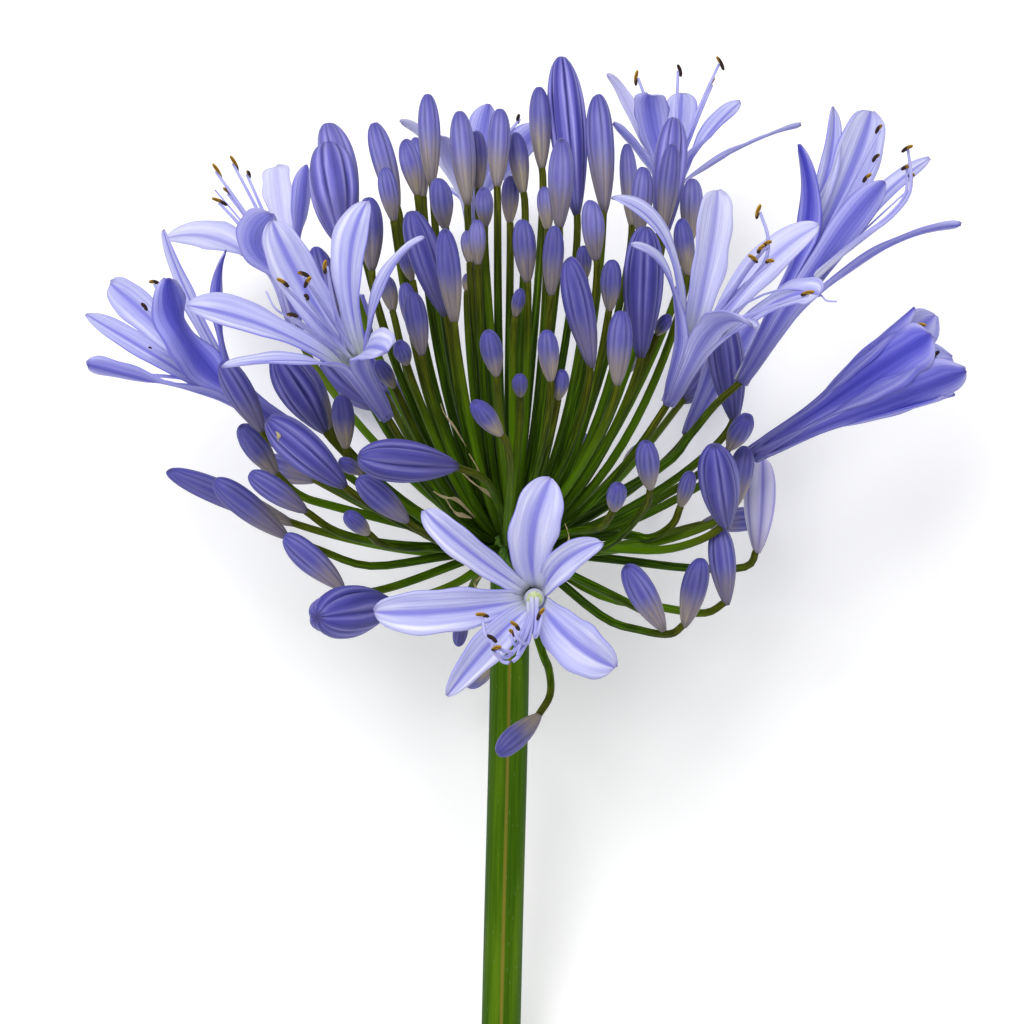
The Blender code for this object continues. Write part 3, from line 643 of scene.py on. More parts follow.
def copy_of(shape, name, place):
    """A copy with a mesh of its own, moved by a matrix."""
    copy = shape.copy()
    copy.name = name
    copy.data = shape.data.copy()
    copy.data.transform(place)
    bpy.context.scene.collection.objects.link(copy)
    return copy


def note(piece, **values):
    """Writes the same value at every point of a piece, for its material to read."""
    for name, value in values.items():
        layer = piece.data.attributes.new(name, "FLOAT", "POINT")
        layer.data.foreach_set("value", [value] * len(piece.data.vertices))


def turned_to(direction, roll=0):
    """Rotation that turns +Z to a direction."""
    turn = direction.to_track_quat("Z", "X").to_matrix().to_4x4()
    return turn @ Matrix.Rotation(roll, 4, "Z")


def placed(foot, direction, width, length, roll=0):
    """Turns a shape one wide and one long to a direction, stretches it and moves it."""
    size = Matrix.Diagonal((width, width, length, 1))
    return Matrix.Translation(foot) @ turned_to(direction, roll) @ size


def region(foot):
    """Which group of buds one belongs to, by where it grows."""
    if foot.z < -24:
        return "buds_back"
    if foot.y > 48:
        return "buds_crown"
    if foot.x < -16:
        return "buds_left"
    if foot.x > 18:
        return "buds_right"
    return "buds_middle"


florets = []
for row in BUDS + REST_BUDS:
    foot, axis, length = bud_axis(row[0:2], row[2:4], row[4], row[5])
    if row in REST_BUDS:
        foot -= UPWARD * (lowest(foot, axis, length, row[4]) + PRESSED)
    florets.append((foot, axis, length, row[4]))
florets.extend(back_buds())

slim_shapes = [bud_shape("slim bud", 0.08, bend) for bend in (0, 0.025, 0.05)]
balloon_shape = bud_shape("balloon bud", 0.2, 0.02)
draw = random.Random(BUD_SEED)
groups = {}
for i, (foot, axis, length, width) in enumerate(florets):
    shape = balloon_shape if width > BALLOON_WIDTH else slim_shapes[i % 3]
    bud = copy_of(shape, f"bud_{i}", placed(foot, axis, width, length, i * BUD_ROLL))
    ripeness = min(1, max(0, width / UNRIPE_WIDTH - 1) + draw.uniform(-0.1, 0.2))
    # Buds of the crown may be light and all others are dark: a random tone, with painted shade inside the
    # head and painted light on its crown.
    lightness = draw.random() * (0.9 if foot.y > 55 else 0.25)
    if i == OPENING_BUD:
        ripeness, lightness = 0.5, 2
    note(bud, ripe=ripeness, shade=lightness)
    groups.setdefault(region(foot), []).append(bud)
for shape in (*slim_shapes, balloon_shape):
    bpy.data.objects.remove(shape)
bud_finish = bud_violet()
for name, members in groups.items():
    lay(join(name, members), "umbel", bud_finish)

# Blooms: the open florets. Each is one piece of tissue, a narrow tube round the ovary that
# splits into six lance-shaped tepals, pale lilac with a blue midrib inside and deeper
# violet-blue outside. Each row: base of the tube, its throat, the throat's radius, the
# bloom's habit, its tepals and its anthers.
#
# The habit is how deep a violet-blue it is, from 0 for pale, how far up their free part its
# tepals hold together, how blunt their tips are, and how much of the throat's radius is
# open. A tepal is the x and u of the point that it bends towards, its tip and its width. One
# unlike the others has its own depth of colour, below 0 for paler than pale, how far its
# inner face turns to the camera, or away below 0, its bluntness, and where along it is
# widest. A half-open bloom is a trumpet of six like tepals: how far from the axis and how far
# ahead their tips are, and the turn of the first one in degrees. An anther is its place, its
# lean in the camera's view, in degrees from the right, how much of its pollen is gone, and
# its length.
BLOOMS = {
    "bloom_front": (
        (3.5, -7.5, 38), (5, -11, 56), 3, (0.1, 0, 2.6, 0.55),
        [(2.4, 2, (8.2, 13.4, 60), 9, (0.5, 0, 2.6, 0.58)), (-9, -1.5, (-17.2, 7, 61), 5.6),
         (-11.5, -14, (-27.2, -13.4, 62), 8.2), (-4.5, -19, (-12.6, -30.2, 62), 6.4, (0.1, 0, 1.4, 0.55)),
         (11, -20, (21, -24.6, 62), 9.2, (0.45, 0, 2.6, 0.58)),
         (9, -2, (18.4, 0.6, 60), 5.6, (0.15, 0, 1.6, 0.5))],
        [(-5.6, -14.4, 70, 170, 0.1, 2.2), (-2.6, -21, 72, 20, 0, 1.7), (-3.8, -19, 71, 145, 0.9, 2),
         (0.8, -16.4, 70, 135, 0.2, 2.1), (0.2, -17.8, 68, 130, 0.3, 1.5), (6.4, -14, 70, 60, 0.3, 2.3)]),
    "bloom_left_front": (
        (-24.6, 25.4, 32), (-33, 39.6, 42), 3.8, (0.1, 0, 2.1, 0.85),
        [(-49.6, 46, (-64.6, 48, 50), 8.2, (0.1, 0.3, 1.7, 0.68)), (-43.5, 54, (-47.6, 64.8, 50), 8.2),
         (-35, 57.8, (-28.6, 68.8, 46), 8.6), (-27, 57, (-17.2, 61.6, 50), 5.4),
         (-41, 38.5, (-57.6, 35.8, 56), 5, (0, 0.3, 4, 0.7)),
         (-29.5, 41.4, (-24.6, 38.8, 60), 7.2, (0.1, 1.2, 4, 0.75))],
        [(-45.6, 52.2, 60, 145, 0.2, 2.4), (-41.4, 53.8, 60, 160, 0.5, 2.1),
         (-40.2, 52.4, 61, 60, 0.3, 2.1), (-41, 49.4, 62, 120, 0.9, 1.2), (-43.6, 45.6, 62, 170, 0.6, 1.9),
         (-36.6, 55.6, 58, 88, 0.1, 2.3)]),
    "bloom_far_left": (
        (-44, 23, -2), (-60, 34, 2), 4.2, (0.8, 0.5, 2, 0.8),
        [(-74, 40, (-84.8, 46.2, 2), 4.8, (0.3, 0.3, 1.7, 0.55)),
         (-73, 33.2, (-84.6, 36.4, 6), 4.6, (0.6, -1, 4.5, 0.8)),
         (-71.5, 45.2, (-80, 52.4, -8), 6.8, (0.2, 0.4, 3, 0.7)),
         (-65.6, 50, (-69.4, 63, -6), 4, (0.4, 0.5, 2.6, 0.55)),
         (-60.8, 50, (-57, 59, 8), 2.8, (0.8, -1.2, 1.4, 0.5)),
         (-68.4, 42.6, (-68.6, 53.4, 13), 12.6, (0.9, -0.6, 1.3, 0.48))],
        [(-71.2, 52.2, 2, 170, 0.4, 1.9), (-73.4, 47.4, 4, 125, 0.7, 1.8), (-72.2, 39.2, 6, 120, 0.9, 0.7),
         (-81.6, 34.2, 0, 130, 0.9, 0.8)]),
    "bloom_back_left": (
        (-42.6, 42.5, -24), (-46, 57, -24), 3.4, (0.15, 0, 2.1, 0.8),
        [(-58, 64.5, (-68.8, 61.4, -34), 9, (-0.4, 1, 0.8, 0.55)),
         (-55.5, 60.4, (-47.8, 66.4, -14), 7.6, (0.1, -0.8, 3, 0.7)),
         (-46, 66, (-46.8, 75.8, -36), 5.8, (-0.8, 0.8, 6, 0.8)),
         (-41.8, 66.5, (-40.8, 76, -26), 5.4, (0.3, -0.8, 2.2, 0.6)), (-56, 62, (-61, 64, -48), 7),
         (-47, 63, (-50, 66, -54), 7)],
        [(-58.8, 74.6, -36, 120, 0, 3.2), (-55.4, 76.2, -38, 117, 0.1, 3.1),
         (-52.6, 74, -40, 105, 0.6, 1.6), (-56.4, 70.2, -34, 138, 0.5, 2.8),
         (-58.2, 68.4, -32, 155, 0.2, 3.1)]),
    "bloom_back_right": (
        (30, 63, -24), (32, 75, -32), 3.2, (0.2, 0.1, 1.8, 0.8),
        [(23, 93, (19.4, 94.2, -34), 2.6, (-0.8, -1, 1.5, 0.5)),
         (25.8, 80, (20.6, 84.4, -28), 2.2, (-0.2, -0.5, 1.8, 0.5)),
         (28, 84, (27.8, 90.2, -24), 6.8, (0.25, -1, 5, 0.75)),
         (34, 83, (34.4, 90.4, -46), 6.6, (0.3, -0.4, 3, 0.75)),
         (38.8, 82.4, (46, 88.6, -34), 7, (0.3, 1, 1.6, 0.62)),
         (46.8, 81.6, (58.2, 84.2, -28), 2.2, (-0.4, 0.6, 4, 0.62))],
        [(25.6, 93.4, -34, 85, 0.1, 2.8), (33.6, 94.8, -40, 105, 0.8, 2.3), (40.4, 92, -40, 62, 0.4, 2.9),
         (41.8, 96.2, -36, 118, 0.5, 2.8)]),
    "bloom_right_front": (
        (31.6, 28.2, 30), (38, 43, 38), 4.6, (0.15, 0.1, 2.1, 0.85),
        [(35.6, 65.8, (20.4, 69.6, 44), 5.4), (34, 58, (24.2, 60.2, 54), 4.8),
         (40.4, 58, (41.6, 71, 38), 7.8, (-0.4, 0.3, 3.2, 0.7)),
         (49.6, 58.2, (61.8, 64, 42), 7.6, (-0.4, 0.9, 1.5, 0.66)),
         (56, 53.2, (61.8, 50, 54), 5.8, (-0.1, 1.2, 4.5, 0.8)),
         (42.6, 48.6, (48.6, 43.8, 60), 7, (-0.1, 0, 3, 0.7))],
        [(50, 66.6, 54, 75, 0, 2.5), (48.4, 57, 56, 140, 0, 2), (50.4, 59, 57, 50, 0.1, 1.8),
         (51.6, 60, 55, 30, 0.1, 1.7), (52, 56.4, 56, 10, 0, 1.5), (59.6, 50, 60, 15, 0, 2.3)]),
    "bloom_right_high": (
        (46.2, 32.4, -4), (57, 51, -2), 4, (0.55, 0.3, 1.9, 0.8),
        [(64, 66, (57.8, 80.2, 4), 5.2, (1, -1.5, 1.4, 0.4)),
         (66, 73, (64.8, 87.6, -8), 4, (0.2, 0.9, 2.6, 0.6)),
         (68.2, 71, (72.3, 86.8, -12), 10.2, (0.05, 0.3, 3.2, 0.68)),
         (66, 62.3, (74.8, 72.8, 8), 6.4, (0.4, -0.8, 1.6, 0.68)),
         (71.2, 69.8, (84, 77.4, -10), 6, (-0.2, -0.3, 1, 0.55)),
         (76, 63.8, (90.2, 64.2, 4), 2.8, (0, -0.4, 4, 0.6))],
        [(74, 83, 0, 56, 0.5, 1.9), (73.4, 77.2, 2, 49, 0.6, 1.8), (71.6, 73.2, 6, 45, 0.3, 2.1),
         (79.6, 79, 0, 30, 0.3, 2.3), (79.4, 75.2, 2, 20, 0.2, 2), (80.4, 73.6, 4, 20, 0.3, 1.2)]),
    "bloom_back_top": (
        (-7, 62, -30), (-8, 72, -42), 3, (0, 0, 1.9, 0.8),
        [(-6, 81, (-4.4, 88.2, -46), 6.4), (-15, 82, (-22, 85, -36), 3.6, (-0.9, 0.5, 1.5, 0.5)),
         (-12, 78, (-14, 82, -30), 4, (-0.5, 0, 1.9, 0.5)), (0, 78, (6, 84, -44), 7),
         (-3, 73, (0, 74, -64), 8), (-14, 73, (-18, 73, -60), 8)],
        [(2, 85.2, -44, 85, 0.9, 1.8)]),
    "bloom_right_trumpet": ((48.4, 18, 3), (66, 28, 7), 4.6, (1, 0.8, 2.2, 0.8), (9.4, 23.6, 10),
                            [(82, 43.6, 17, 5, 0.1, 2.2), (85.4, 37.8, 18, 50, 0.8, 1.8)]),
    "bloom_back_low_left": ((-25, 30, -32), (-30, 39, -41), 3.2, (0.8, 0.45, 2, 0.8), (6, 16, 0), []),
    "bloom_back_low_right": ((35.4, 22, -14), (41, 34, -22), 3, (0.4, 0.6, 2, 0.8), (5, 12, 0), []),
}
TRUMPET_FLARE = 0.8
LOBES = (-1, 0, 2.2, -3, -0.5, 1)
FOOT_RADIUS = 0.55
BEND_LIFT = 5
TEPAL_ROOT = 3
TEPAL_THICKNESS = 0.34
TEPAL_CUP = 0.25
TEPAL_WIDEST = 0.58
TEPAL_CLAW = 0.32
SIXTH_WIDTH = 0.56
OVARY_SWELLING = 0.35
TWIST = 0.25
TUBE_ROWS = 10
BLADE_ROWS = 24
TEPAL_COLUMNS = 12
MIDRIB_GROOVE = 0.14
MARGIN_WAVE = 0.36
MARGIN_RAGGED = 0.016


def bezier(points, t):
    """Point on the Bezier curve of any number of points."""
    while len(points) > 1:
        points = [a.lerp(b, t) for a, b in zip(points, points[1:])]
    return points[0]


def ease(t):
    """Smooth step from 0 to 1."""
    t = min(1, max(0, t))
    return t * t * (3 - 2 * t)


def blade_outline(s, widest, blunt):
    """Half-width of a tepal at s of its free part: a narrow claw, a broad end and its tip."""
    if s < widest:
        return TEPAL_CLAW + (1 - TEPAL_CLAW) * sin(pi / 2 * s / widest)
    return sqrt(max(0.006, 1 - ((s - widest) / (1 - widest)) ** blunt))


def tepal_inside():
    finish = Finish("tepal inside", 0.5, 0.12)
    along = finish.along
    depth = finish.attribute("depth")
    off_rib = abs(finish.across - 0.5) * 2
    streaks = finish.abroad(6, 2, depth * 9)
    grain = finish.abroad(60, 30)
    rib = (1 - (off_rib + (streaks - 0.5) * 0.16).rise(0.02, 0.34)) * along.rise(0.16, 0.4)
    veins = (off_rib * 22).maths("COSINE").rise(0.35, 1)
    pale = streaks.ramp((0.25, 0xA4A6E0), (0.5, 0xC4C6F0), (0.75, 0xEAEBFC))
    return finish.done(pale.cover(
        (depth * 0.5, 0xA3A3E4), (rib * (0.7 + streaks * 0.3), 0x7574D2), (veins * 0.12, 0x8A89D8),
        (off_rib.rise(0.75, 1) * 0.5, 0x9C9CE4), ((1 - along.rise(0.24, 0.42)) * 0.7, 0xD3DCC4),
        (along.rise(0.93, 1) * 0.4, 0x9C96D8), ((0 - depth).rise(0, 1) * 0.7, 0xDCDBF6)),
        veins * 0.5 + grain * 0.5, 0.00007)


def tepal_outside():
    finish = Finish("tepal outside", 0.5, 0.12)
    along = finish.along
    depth = finish.attribute("depth")
    off_rib = abs(finish.across - 0.5) * 2
    streaks = finish.abroad(7, 1.4, depth * 9 + 3)
    blend = off_rib + (streaks - 0.5) * 0.9
    light = blend.ramp((0, 0x7473CE), (0.35, 0x9292E2), (0.75, 0xB8B8F2), (1, 0x9796E3))
    deep = blend.ramp(
        (0, 0x4140B2), (0.3, 0x5957C6), (0.6, 0x7C7BDA), (0.85, 0x9A9AE6), (1, 0x6E6DD2))
    veins = (off_rib * 26).maths("COSINE").rise(0.4, 1)
    lobe = off_rib.rise(0.5, 1) * along.rise(0.75, 0.95) * 0.7
    foot = streaks.ramp((0.3, 0x4A4796), (0.6, 0x6A67AC), (0.8, 0x8885C2))
    return finish.done(light.cover(
        (depth, deep), (veins * 0.15, 0x5655C4), (lobe, 0xBDBCF0),
        ((1 - along.rise(0.02, 0.32)) * 0.75, foot), (along.rise(0.95, 1) * 0.5, 0x5A539E),
        ((0 - depth).rise(0, 1) * 0.75, 0xD6D4F4)), veins * 0.6 + streaks * 0.4, 0.0001)


def square_to(way, vector):
    """What a vector has square to a way of length 1."""
    return vector - way * vector.dot(way)


def tube_radius(t, mouth):
    """The tube widens from the ovary, with a small swelling round it, to its mouth."""
    ovary = OVARY_SWELLING * sin(pi * min(1, t * 2.4)) ** 2
    return FOOT_RADIUS + (mouth - FOOT_RADIUS) * t ** 0.9 + ovary


def tepal(name, axis, base, throat, radius, out, row, phase, joined, facing, blunt, widest):
    """One tepal with its sixth of the tube, from the ovary to its tip."""
    bend, tip, width = row
    tube_share = 1 - TEPAL_ROOT / (throat - base).length
    joined *= min(1, width / 7)
    shares = [tube_share * i / TUBE_ROWS for i in range(TUBE_ROWS)] + [tube_share]
    *line, root = [base.lerp(throat, t) + out * tube_radius(t, radius) for t in shares]
    steps = [1 - (1 - i / BLADE_ROWS) ** 1.3 for i in range(BLADE_ROWS + 1)]
    line += [bezier([root, bend, tip], s) for s in steps]
    for i in range(3):
        line[1:-1] = [(a + b * 2 + c) / 4 for a, b, c in zip(line, line[1:], line[2:])]
    ways = directions(line)
    spread = square_to(axis, tip - throat).normalized()
    twist = TWIST * sin(phase * 1.7)

    def place(u, v):
        i = round(v * (len(line) - 1))
        side = u * 2 - 1
        s = steps[max(0, i - TUBE_ROWS)]
        share = (i - TUBE_ROWS) / BLADE_ROWS
        outward = out.lerp(spread, ease(share * 3)).normalized()
        inward = axis * ways[i].dot(outward) - outward * ways[i].dot(axis)
        inward = square_to(ways[i], inward).normalized()
        from_axis = square_to(axis, line[i] - base)
        loose = ease((share - joined + 0.08) / 0.25)
        ragged = sin(9 * s + phase * 2 + side * 2) + sin(21 * s + phase * 5 + side * 3)
        free = width / 2 * blade_outline(s, widest, blunt)
        free *= 1 + MARGIN_RAGGED * blunt * ragged * side ** 4
        sixth = SIXTH_WIDTH * (from_axis.length + 0.2)
        in_tube = max(free, min(sixth, max(width / 2, SIXTH_WIDTH * (radius + 0.2))))
        half = in_tube + (free - in_tube) * loose
        inward += ways[i].cross(inward) * twist * loose * s
        inward.z += facing * loose * min(1, 2 * s)
        inward = square_to(ways[i], inward).normalized()
        wave = MARGIN_WAVE * loose * side ** 2 * sin(8 * s + phase + side * 1.3)
        groove = MIDRIB_GROOVE * loose * max(0, 1 - abs(side) * 4)
        return (line[i] + ways[i].cross(inward) * half * side
                + inward * (TEPAL_CUP * half * side ** 2 + wave - groove))

    return sheet(name, TEPAL_COLUMNS, len(line) - 1, place)


def bloom_tepals(name, base, throat, radius, habit, rows):
    """Six tepals, evenly round the tube's foot in the order that their tips lie in."""
    axis = (throat - base).normalized()
    turn = turned_to(axis)
    local = [turn.inverted() @ (row[1] - throat) for row in rows]
    bearings = [atan2(p.y, p.x) for p in local]
    order = sorted(range(len(rows)), key=lambda i: bearings[i])
    sixth = tau / len(rows)
    off = [bearings[i] - k * sixth for k, i in enumerate(order)]
    start = atan2(sum(map(sin, off)), sum(map(cos, off)))
    depth, joined, blunt, _ = habit
    pieces = []
    for k, i in enumerate(order):
        bearing = start + k * sixth
        out = turn @ Vector((cos(bearing), sin(bearing), 0))
        like_others = (depth, 0, blunt, TEPAL_WIDEST + 0.05 * sin(i * 6.3))
        *row, (shade, *shape) = rows[i] if len(rows[i]) > 3 else (*rows[i], like_others)
        pieces.append(tepal(f"tepal_{i}", axis, base, throat, radius, out, row, i * 2.1,
                            joined, *shape))
        note(pieces[-1], depth=shade)
    tepals = join(name + "_tepals", pieces)
    tepals.data.materials.append(INSIDE)
    tepals.data.materials.append(OUTSIDE)
    wall(tepals, TEPAL_THICKNESS)
    return tepals


def open_rows(throat, axis, tepals):
    """The tepals of an open bloom, with their points as the camera sees them."""
    for bend_x, bend_u, tip, *rest in tepals:
        tip = seen(*tip)
        yield seen(bend_x, bend_u, (throat.z + tip.z) / 2 + BEND_LIFT * axis.z), tip, *rest


def trumpet_rows(throat, axis, spread, reach, degrees):
    """Six like tepals of a half-open bloom, evenly round its axis from the turn of the first."""
    start = Vector((0, 0, 1)).cross(axis).normalized()
    for i, lobe in enumerate(LOBES):
        turned = radians(degrees) + i * pi / 3
        out = (Matrix.Rotation(turned, 3, axis) @ start) * spread
        bend = throat + out * TRUMPET_FLARE + axis * reach / 2
        yield bend, throat + out + axis * (reach + lobe), spread * SIXTH_WIDTH * 2


INSIDE = tepal_inside()
OUTSIDE = tepal_outside()
grown = {}
for name, (base, throat, radius, habit, shape, anthers) in BLOOMS.items():
    base, throat = seen(*base), seen(*throat)
    axis = (throat - base).normalized()
    radius *= habit[3]
    open_one = isinstance(shape, list)
    rows = open_rows(throat, axis, shape) if open_one else trumpet_rows(throat, axis, *shape)
    lay(bloom_tepals(name, base, throat, radius, habit, list(rows)), name)
    grown[name] = (base, throat, axis, radius, [(seen(*row[:3]), *row[3:]) for row in anthers])

# Stamens and style: six pale threads from each bloom's throat, with an ochre anther that
# splits open dark brown, across the thread's end. The style is thinner, with a bare end.
FILAMENT_ROWS = 14
FILAMENT_RADII = (0.48, 0.3)
STYLE_RADII = (0.26, 0.18)
ANTHER_WIDTH = 1
ANTHER_BEND = 0.5
ANTHER_ROWS = 8
THREAD_STEP = 1.05
THREAD_RING = 1.1
THREAD_DEPTH = 3
HIDDEN_THREADS = 6
OVARY_SHOWN = (1.6, 1.25, 1.4)
OVARY_HIDDEN = (6, 0.9, 2)

# Where threads loop, between the throat and the anther, by bloom and the anther's place
LOOPS = {
    "bloom_front": {
        0: [(4.2, -15.4, 64), (0.6, -21.4, 70), (-4.4, -18.8, 71)],
        1: [(3.8, -17.4, 64), (1.4, -22.6, 70), (-1.4, -23.4, 70)],
        2: [(3, -16.4, 63), (0.4, -21.8, 68), (-2.6, -22.2, 71)],
        3: [(4.4, -14.6, 63), (3.6, -19.6, 67), (1.6, -18.8, 70)],
        4: [(4, -14.4, 62), (2.6, -19.4, 66), (0.8, -19.8, 68)],
        5: [(5.2, -14.4, 62), (5, -18.2, 66), (5.6, -17.4, 70)]},
    "bloom_right_front": {0: [(43.6, 48, 46), (50.6, 56, 53), (51.6, 61.4, 54)]},
    "bloom_right_high": {
        3: [(69.4, 60.6, 8), (75.6, 65, 10), (79.6, 69.6, 9), (80.2, 74, 6)],
        4: [(68.6, 60.4, 7), (75, 65.2, 9), (79, 70, 8)],
        5: [(70, 60.8, 6), (76, 65.6, 8), (79.8, 70.4, 7)]},
}

# What each bloom's style passes through, and its end
STYLES = {
    "bloom_front": [(1.4, -22, 73)],
    "bloom_far_left": [(-72.2, 39.2, 8)],
    "bloom_left_front": [(-43.6, 45, 56), (-47, 47.4, 60), (-48.8, 50.8, 61)],
    "bloom_back_left": [(-59, 71, -36)],
    "bloom_right_high": [(79.6, 71, 5)],
    "bloom_right_front": [
        (47, 48.2, 45), (55, 51.2, 49), (61.4, 50.4, 52), (63.2, 48.9, 54), (65.3, 48.7, 56)],
}


def anther_ochre():
    finish = Finish("anther", 0.85)
    pollen = finish.around(3, 6, scale=3)
    split = 1 - (abs(finish.angle.maths("SINE")) + (pollen - 0.5) * 0.9).rise(0.2, 0.5)
    bare = (finish.attribute("age") + 0.35 - finish.along).rise(-0.1, 0.2)
    ochre = pollen.ramp((0.3, 0x8A6410), (0.5, 0xC08E16), (0.7, 0xE6B832))
    dark = bare.maths("MAXIMUM", split * 0.7)
    return finish.done(dark.mix(ochre, 0x33241C), pollen, 0.00015)


def anther_shape():
    """Two long lobes side by side, curved, to be copied."""
    steps = [i / ANTHER_ROWS for i in range(ANTHER_ROWS + 1)]
    line = [Vector((ANTHER_BEND * sin(pi * s), 0, s - 0.5)) for s in steps]
    radii = [sqrt(max(0, 1 - (s * 2 - 1) ** 4)) / 2 for s in steps]
    return close_up(stalk("anther", line, radii, 12, Vector((1, 0, 0)),
                          lambda angle, row: 0.62 + 0.38 * abs(cos(angle))))


def tapered(name, line, radii, columns=8):
    """A stalk with closed ends, whose radius goes evenly from the first given to the last."""
    first, last = radii
    rows = len(line) - 1
    widths = [first + (last - first) * i / rows for i in range(rows + 1)]
    return stalk(name, [line[0], *line, line[-1]], [0, *widths, 0], columns)


def ovary(base, throat, axis, radius, depth, fill, length):
    """The green ovary, at a depth below the throat, and how far it fills the tube there."""
    share = 1 - depth / (throat - base).length
    wide = tube_radius(share, radius) * fill
    pick()
    bpy.ops.mesh.primitive_uv_sphere_add(segments=18, ring_count=12, radius=1)
    piece = bpy.context.object
    piece.data.transform(placed(base.lerp(throat, share), axis, wide, length))
    piece.data.materials.append(OVARY_FINISH)
    return piece


def thread(name, start, loop, end, bow, radii):
    """A thread that runs through the points of its loop, or bows where it has none."""
    control = start.lerp(end, 0.5) + bow
    points = ([start, *(seen(*p) for p in loop), end] if loop else
              [bezier([start, control, end], t / 4) for t in range(5)])
    return tapered(name, smooth_line(points, FILAMENT_ROWS), radii)


def stamens(name, base, throat, axis, radius, anthers):
    """The threads of one bloom, with their anthers."""
    turn = turned_to(axis)
    threads, heads = [], []
    for i, (end, degrees, age, length) in enumerate(anthers):
        bearing = turn @ Vector((cos(i * THREAD_STEP), sin(i * THREAD_STEP), 0))
        start = throat - axis * THREAD_DEPTH + bearing * THREAD_RING
        loop = LOOPS.get(name, {}).get(i)
        threads.append(thread(f"thread_{i}", start, loop, end, axis * 2, FILAMENT_RADII))
        way = radians(degrees)
        lean = Vector((cos(way), sin(way), 0.15))
        roll = copysign(pi / 2, -lean.x)
        place = placed(end, lean, min(ANTHER_WIDTH, length), length, roll)
        head = copy_of(ANTHER, f"anther_{i}", place)
        note(head, age=age)
        head.data.materials.append(ANTHER_FINISH)
        heads.append(head)
    *loop, tip = STYLES.get(name, [None])
    tip = seen(*tip) if tip else throat + axis * 12 + turn @ Vector((1.5, -1, 0))
    threads.append(thread("style", throat - axis * 4, loop, tip, axis * 1.5, STYLE_RADII))
    for piece in threads:
        piece.data.materials.append(THREAD_FINISH)
    size = OVARY_SHOWN if name == "bloom_front" else OVARY_HIDDEN
    green = ovary(base, throat, axis, radius, *size)
    return close_up(join(name + "_stamens", [*threads, *heads, green]))


THREAD_FINISH = mottled("stamen thread", 0.45, 0.1, (2, 8), 1, 0.00004,
                        ((0.3, 0x9695DC), (0.7, 0xBCBCF0)), (0xE4E8E0, 0, 0.3))
ANTHER_FINISH = anther_ochre()
# The ovary is green at its end in the throat and pale grey below: the whitish thread bases round it, made
# dimmer as painted shade of the tube's wall.
OVARY_FINISH = mottled("ovary green", 0.5, 0.1, (3, 5), 1, 0.0001,
                       ((0.3, 0x9FB06A), (0.7, 0xC9D3A4)), (0xB0B4C4, 0.64, 0.78))
ANTHER = anther_shape()
for name, (base, throat, axis, radius, anthers) in grown.items():
    turn = turned_to(axis)
    for i in range(0 if anthers else HIDDEN_THREADS):
        end = throat + turn @ Vector((3 * cos(i), 3 * sin(i), 11 + i))
        anthers.append((end, draw.uniform(0, 180), 0.3, 2.2))
    lay(stamens(name, base, throat, axis, radius, anthers), name)
bpy.data.objects.remove(ANTHER)

# Pedicels: one thin green stalk to each bud and bloom, all from the receptacle. They leave
# it close together, spread like a fountain, and turn olive to purple-brown near the floret.
PEDICEL_ROWS = 16
PEDICEL_COLUMNS = 8
PEDICEL_RADII = (0.95, 0.72)
PEDICEL_HOOK = 6
HOOK_SHARE = 0.22
PEDICEL_RISE = 0.34
ROOT_SHARE = 0.6
BUD_ROOT = 0.05
BLOOM_ROOT = 0.6
PEDICEL_SWAY = 0.035

# The bends of the pedicels that sag, from the floret back to the hub, by the floret's foot
ROUTES = {
    (46.2, 32.4): [(41, 28), (36, 22), (29.4, 15)], (-10.6, 15.8): [(-5, 13), (-2, 7)],
    (-23.6, -12): [(-14, -9), (-8, -6)], (43.4, 3.4): [(38, 1), (30, -1), (18, -0.6)],
    (49.4, -1.6): [(47, -4.4), (36, -4.6), (22, -3)], (-46.6, 14): [(-42, 10), (-34, 7.4)],
    (-44.4, 1.4): [(-38, -1), (-28, -4.2), (-14, -2.4)], (-40.6, 6.6): [(-34, 2.4), (-22, 0)],
    (-28.2, 2.2): [(-25, 0), (-16, -0.6)], (28.2, 11): [(26.6, 7), (18, -0.6)],
    (20.8, 7): [(18, 3.6), (11, 2.4)], (43.4, -12): [(39, -13.6), (31, -12.6), (18, -10)],
    (34.8, -16.4): [(32, -17.8), (26, -17), (18, -14)], (30.8, -17.2): [(27, -13.4), (13, -6.4)],
    (34, 7.4): [(32.4, 4), (28, 1.4), (22, 2)], (6, -33.8): [(8, -30), (7.8, -25), (6, -20)],
}


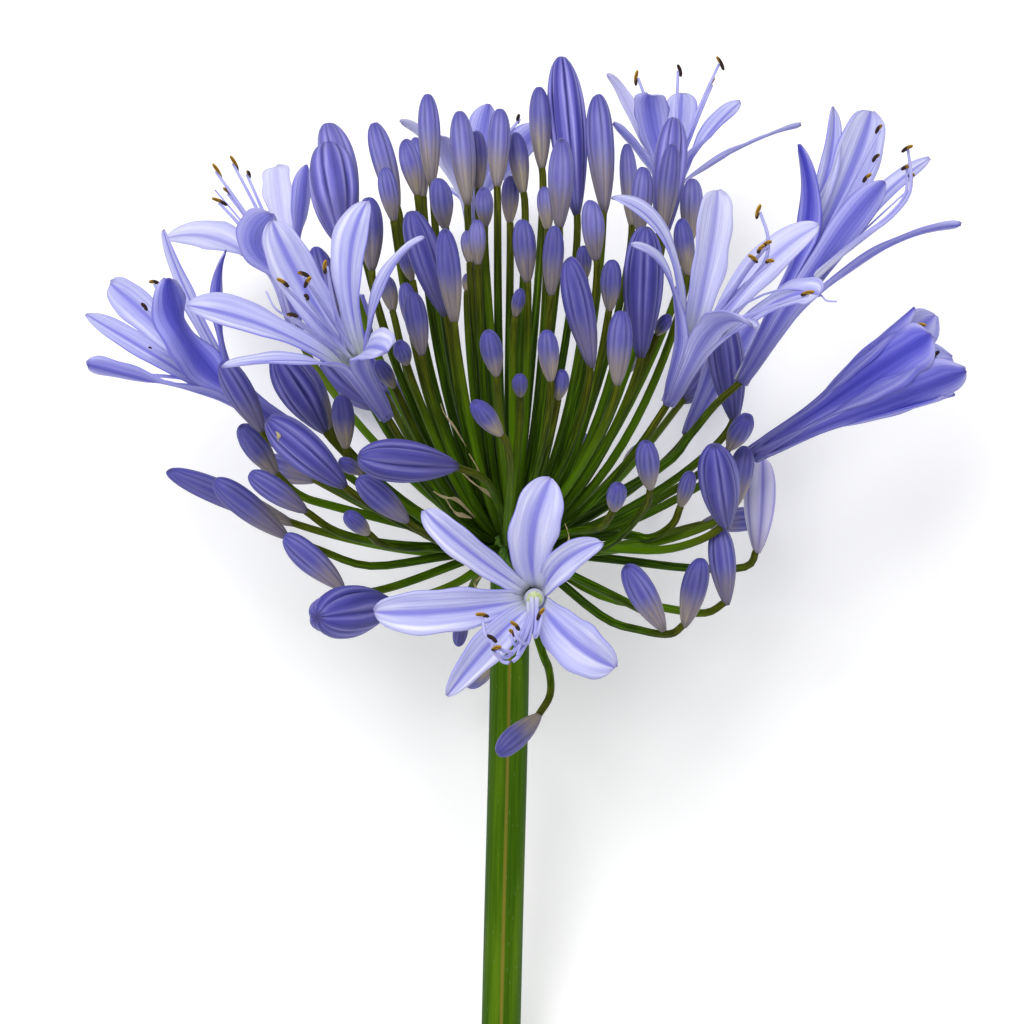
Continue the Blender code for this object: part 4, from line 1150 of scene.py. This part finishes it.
def pedicel_green():
    finish = Finish("pedicel green", 0.45, shine=0.08)
    shade = finish.attribute("shade")
    fibres = finish.around(2.5, 9, shade * 30)
    inner = fibres.ramp((0.25, 0x152600), (0.5, 0x2A4600), (0.75, 0x557C04))
    outer = fibres.ramp((0.3, 0x2E3004), (0.6, 0x50540C), (0.8, 0x6A5A20))
    finish.roughness.feed(0.38 + fibres * 0.2)
    # Every pedicel is darker near the hub: painted shade where they crowd together.
    return finish.done(inner.cover(
        (shade.rise(0.3, 1) * 0.6, 0x628C08), (finish.along.rise(0.4, 0.9) * 0.9, outer),
        ((1 - finish.along.rise(0, 0.4)) * 0.55, 0x142404)), fibres, 0.00008)


def hub_roots(bases):
    """Where each pedicel leaves the hub: evenly over its dome, in the order that they lean."""
    order = sorted(range(len(bases)), key=lambda i: bases[i].angle(Vector((0, 1, 0))))
    roots = [None] * len(bases)
    for rank, i in enumerate(order):
        cosine = 1 - (1 - cos(HUB_REACH)) * (rank + 0.5) / len(bases)
        around = atan2(bases[i].z, bases[i].x)
        sine = sqrt(1 - cosine ** 2)
        roots[i] = Vector((sine * cos(around), cosine, sine * sin(around)))
    return roots


def pedicel(name, root_direction, end, axis, route):
    """A curved stalk from inside the hub to a floret's foot, which it meets end on."""
    root = root_direction * HUB_RADIUS * ROOT_SHARE
    span = (end - root).length
    if route:
        step = 0.8 / (len(route) + 1)
        bends = [seen(*point, end.z * ease(1 - (i + 1) * step)) for i, point in enumerate(route)]
        line = smooth_line([root, *reversed(bends), end], PEDICEL_ROWS)
    else:
        hook = min(PEDICEL_HOOK, span * HOOK_SHARE)
        sway = Vector([draw.uniform(-1, 1) * PEDICEL_SWAY * span for axis_name in "xuw"])
        rise = root + root_direction * span * PEDICEL_RISE + sway
        controls = [root, rise, end - axis * hook - sway / 2, end]
        line = [bezier(controls, i / PEDICEL_ROWS) for i in range(PEDICEL_ROWS + 1)]
    piece = tapered(name, line, PEDICEL_RADII, PEDICEL_COLUMNS)
    note(piece, shade=draw.random())
    return piece


feet = [row[2:4] for row in BUDS + REST_BUDS] + [None] * BACK_BUDS
feet += [row[0][:2] for row in BLOOMS.values()]
ends = [foot + axis * length * BUD_ROOT for foot, axis, length, width in florets]
ends += [bloom[0] + bloom[2] * BLOOM_ROOT for bloom in grown.values()]
axes = [floret[1] for floret in florets] + [bloom[2] for bloom in grown.values()]
roots = hub_roots(ends)
stalks = [pedicel(f"pedicel_{i}", roots[i], ends[i], axes[i], ROUTES.get(feet[i]))
          for i in range(len(ends))]
lay(close_up(join("pedicels", stalks)), "umbel", pedicel_green())
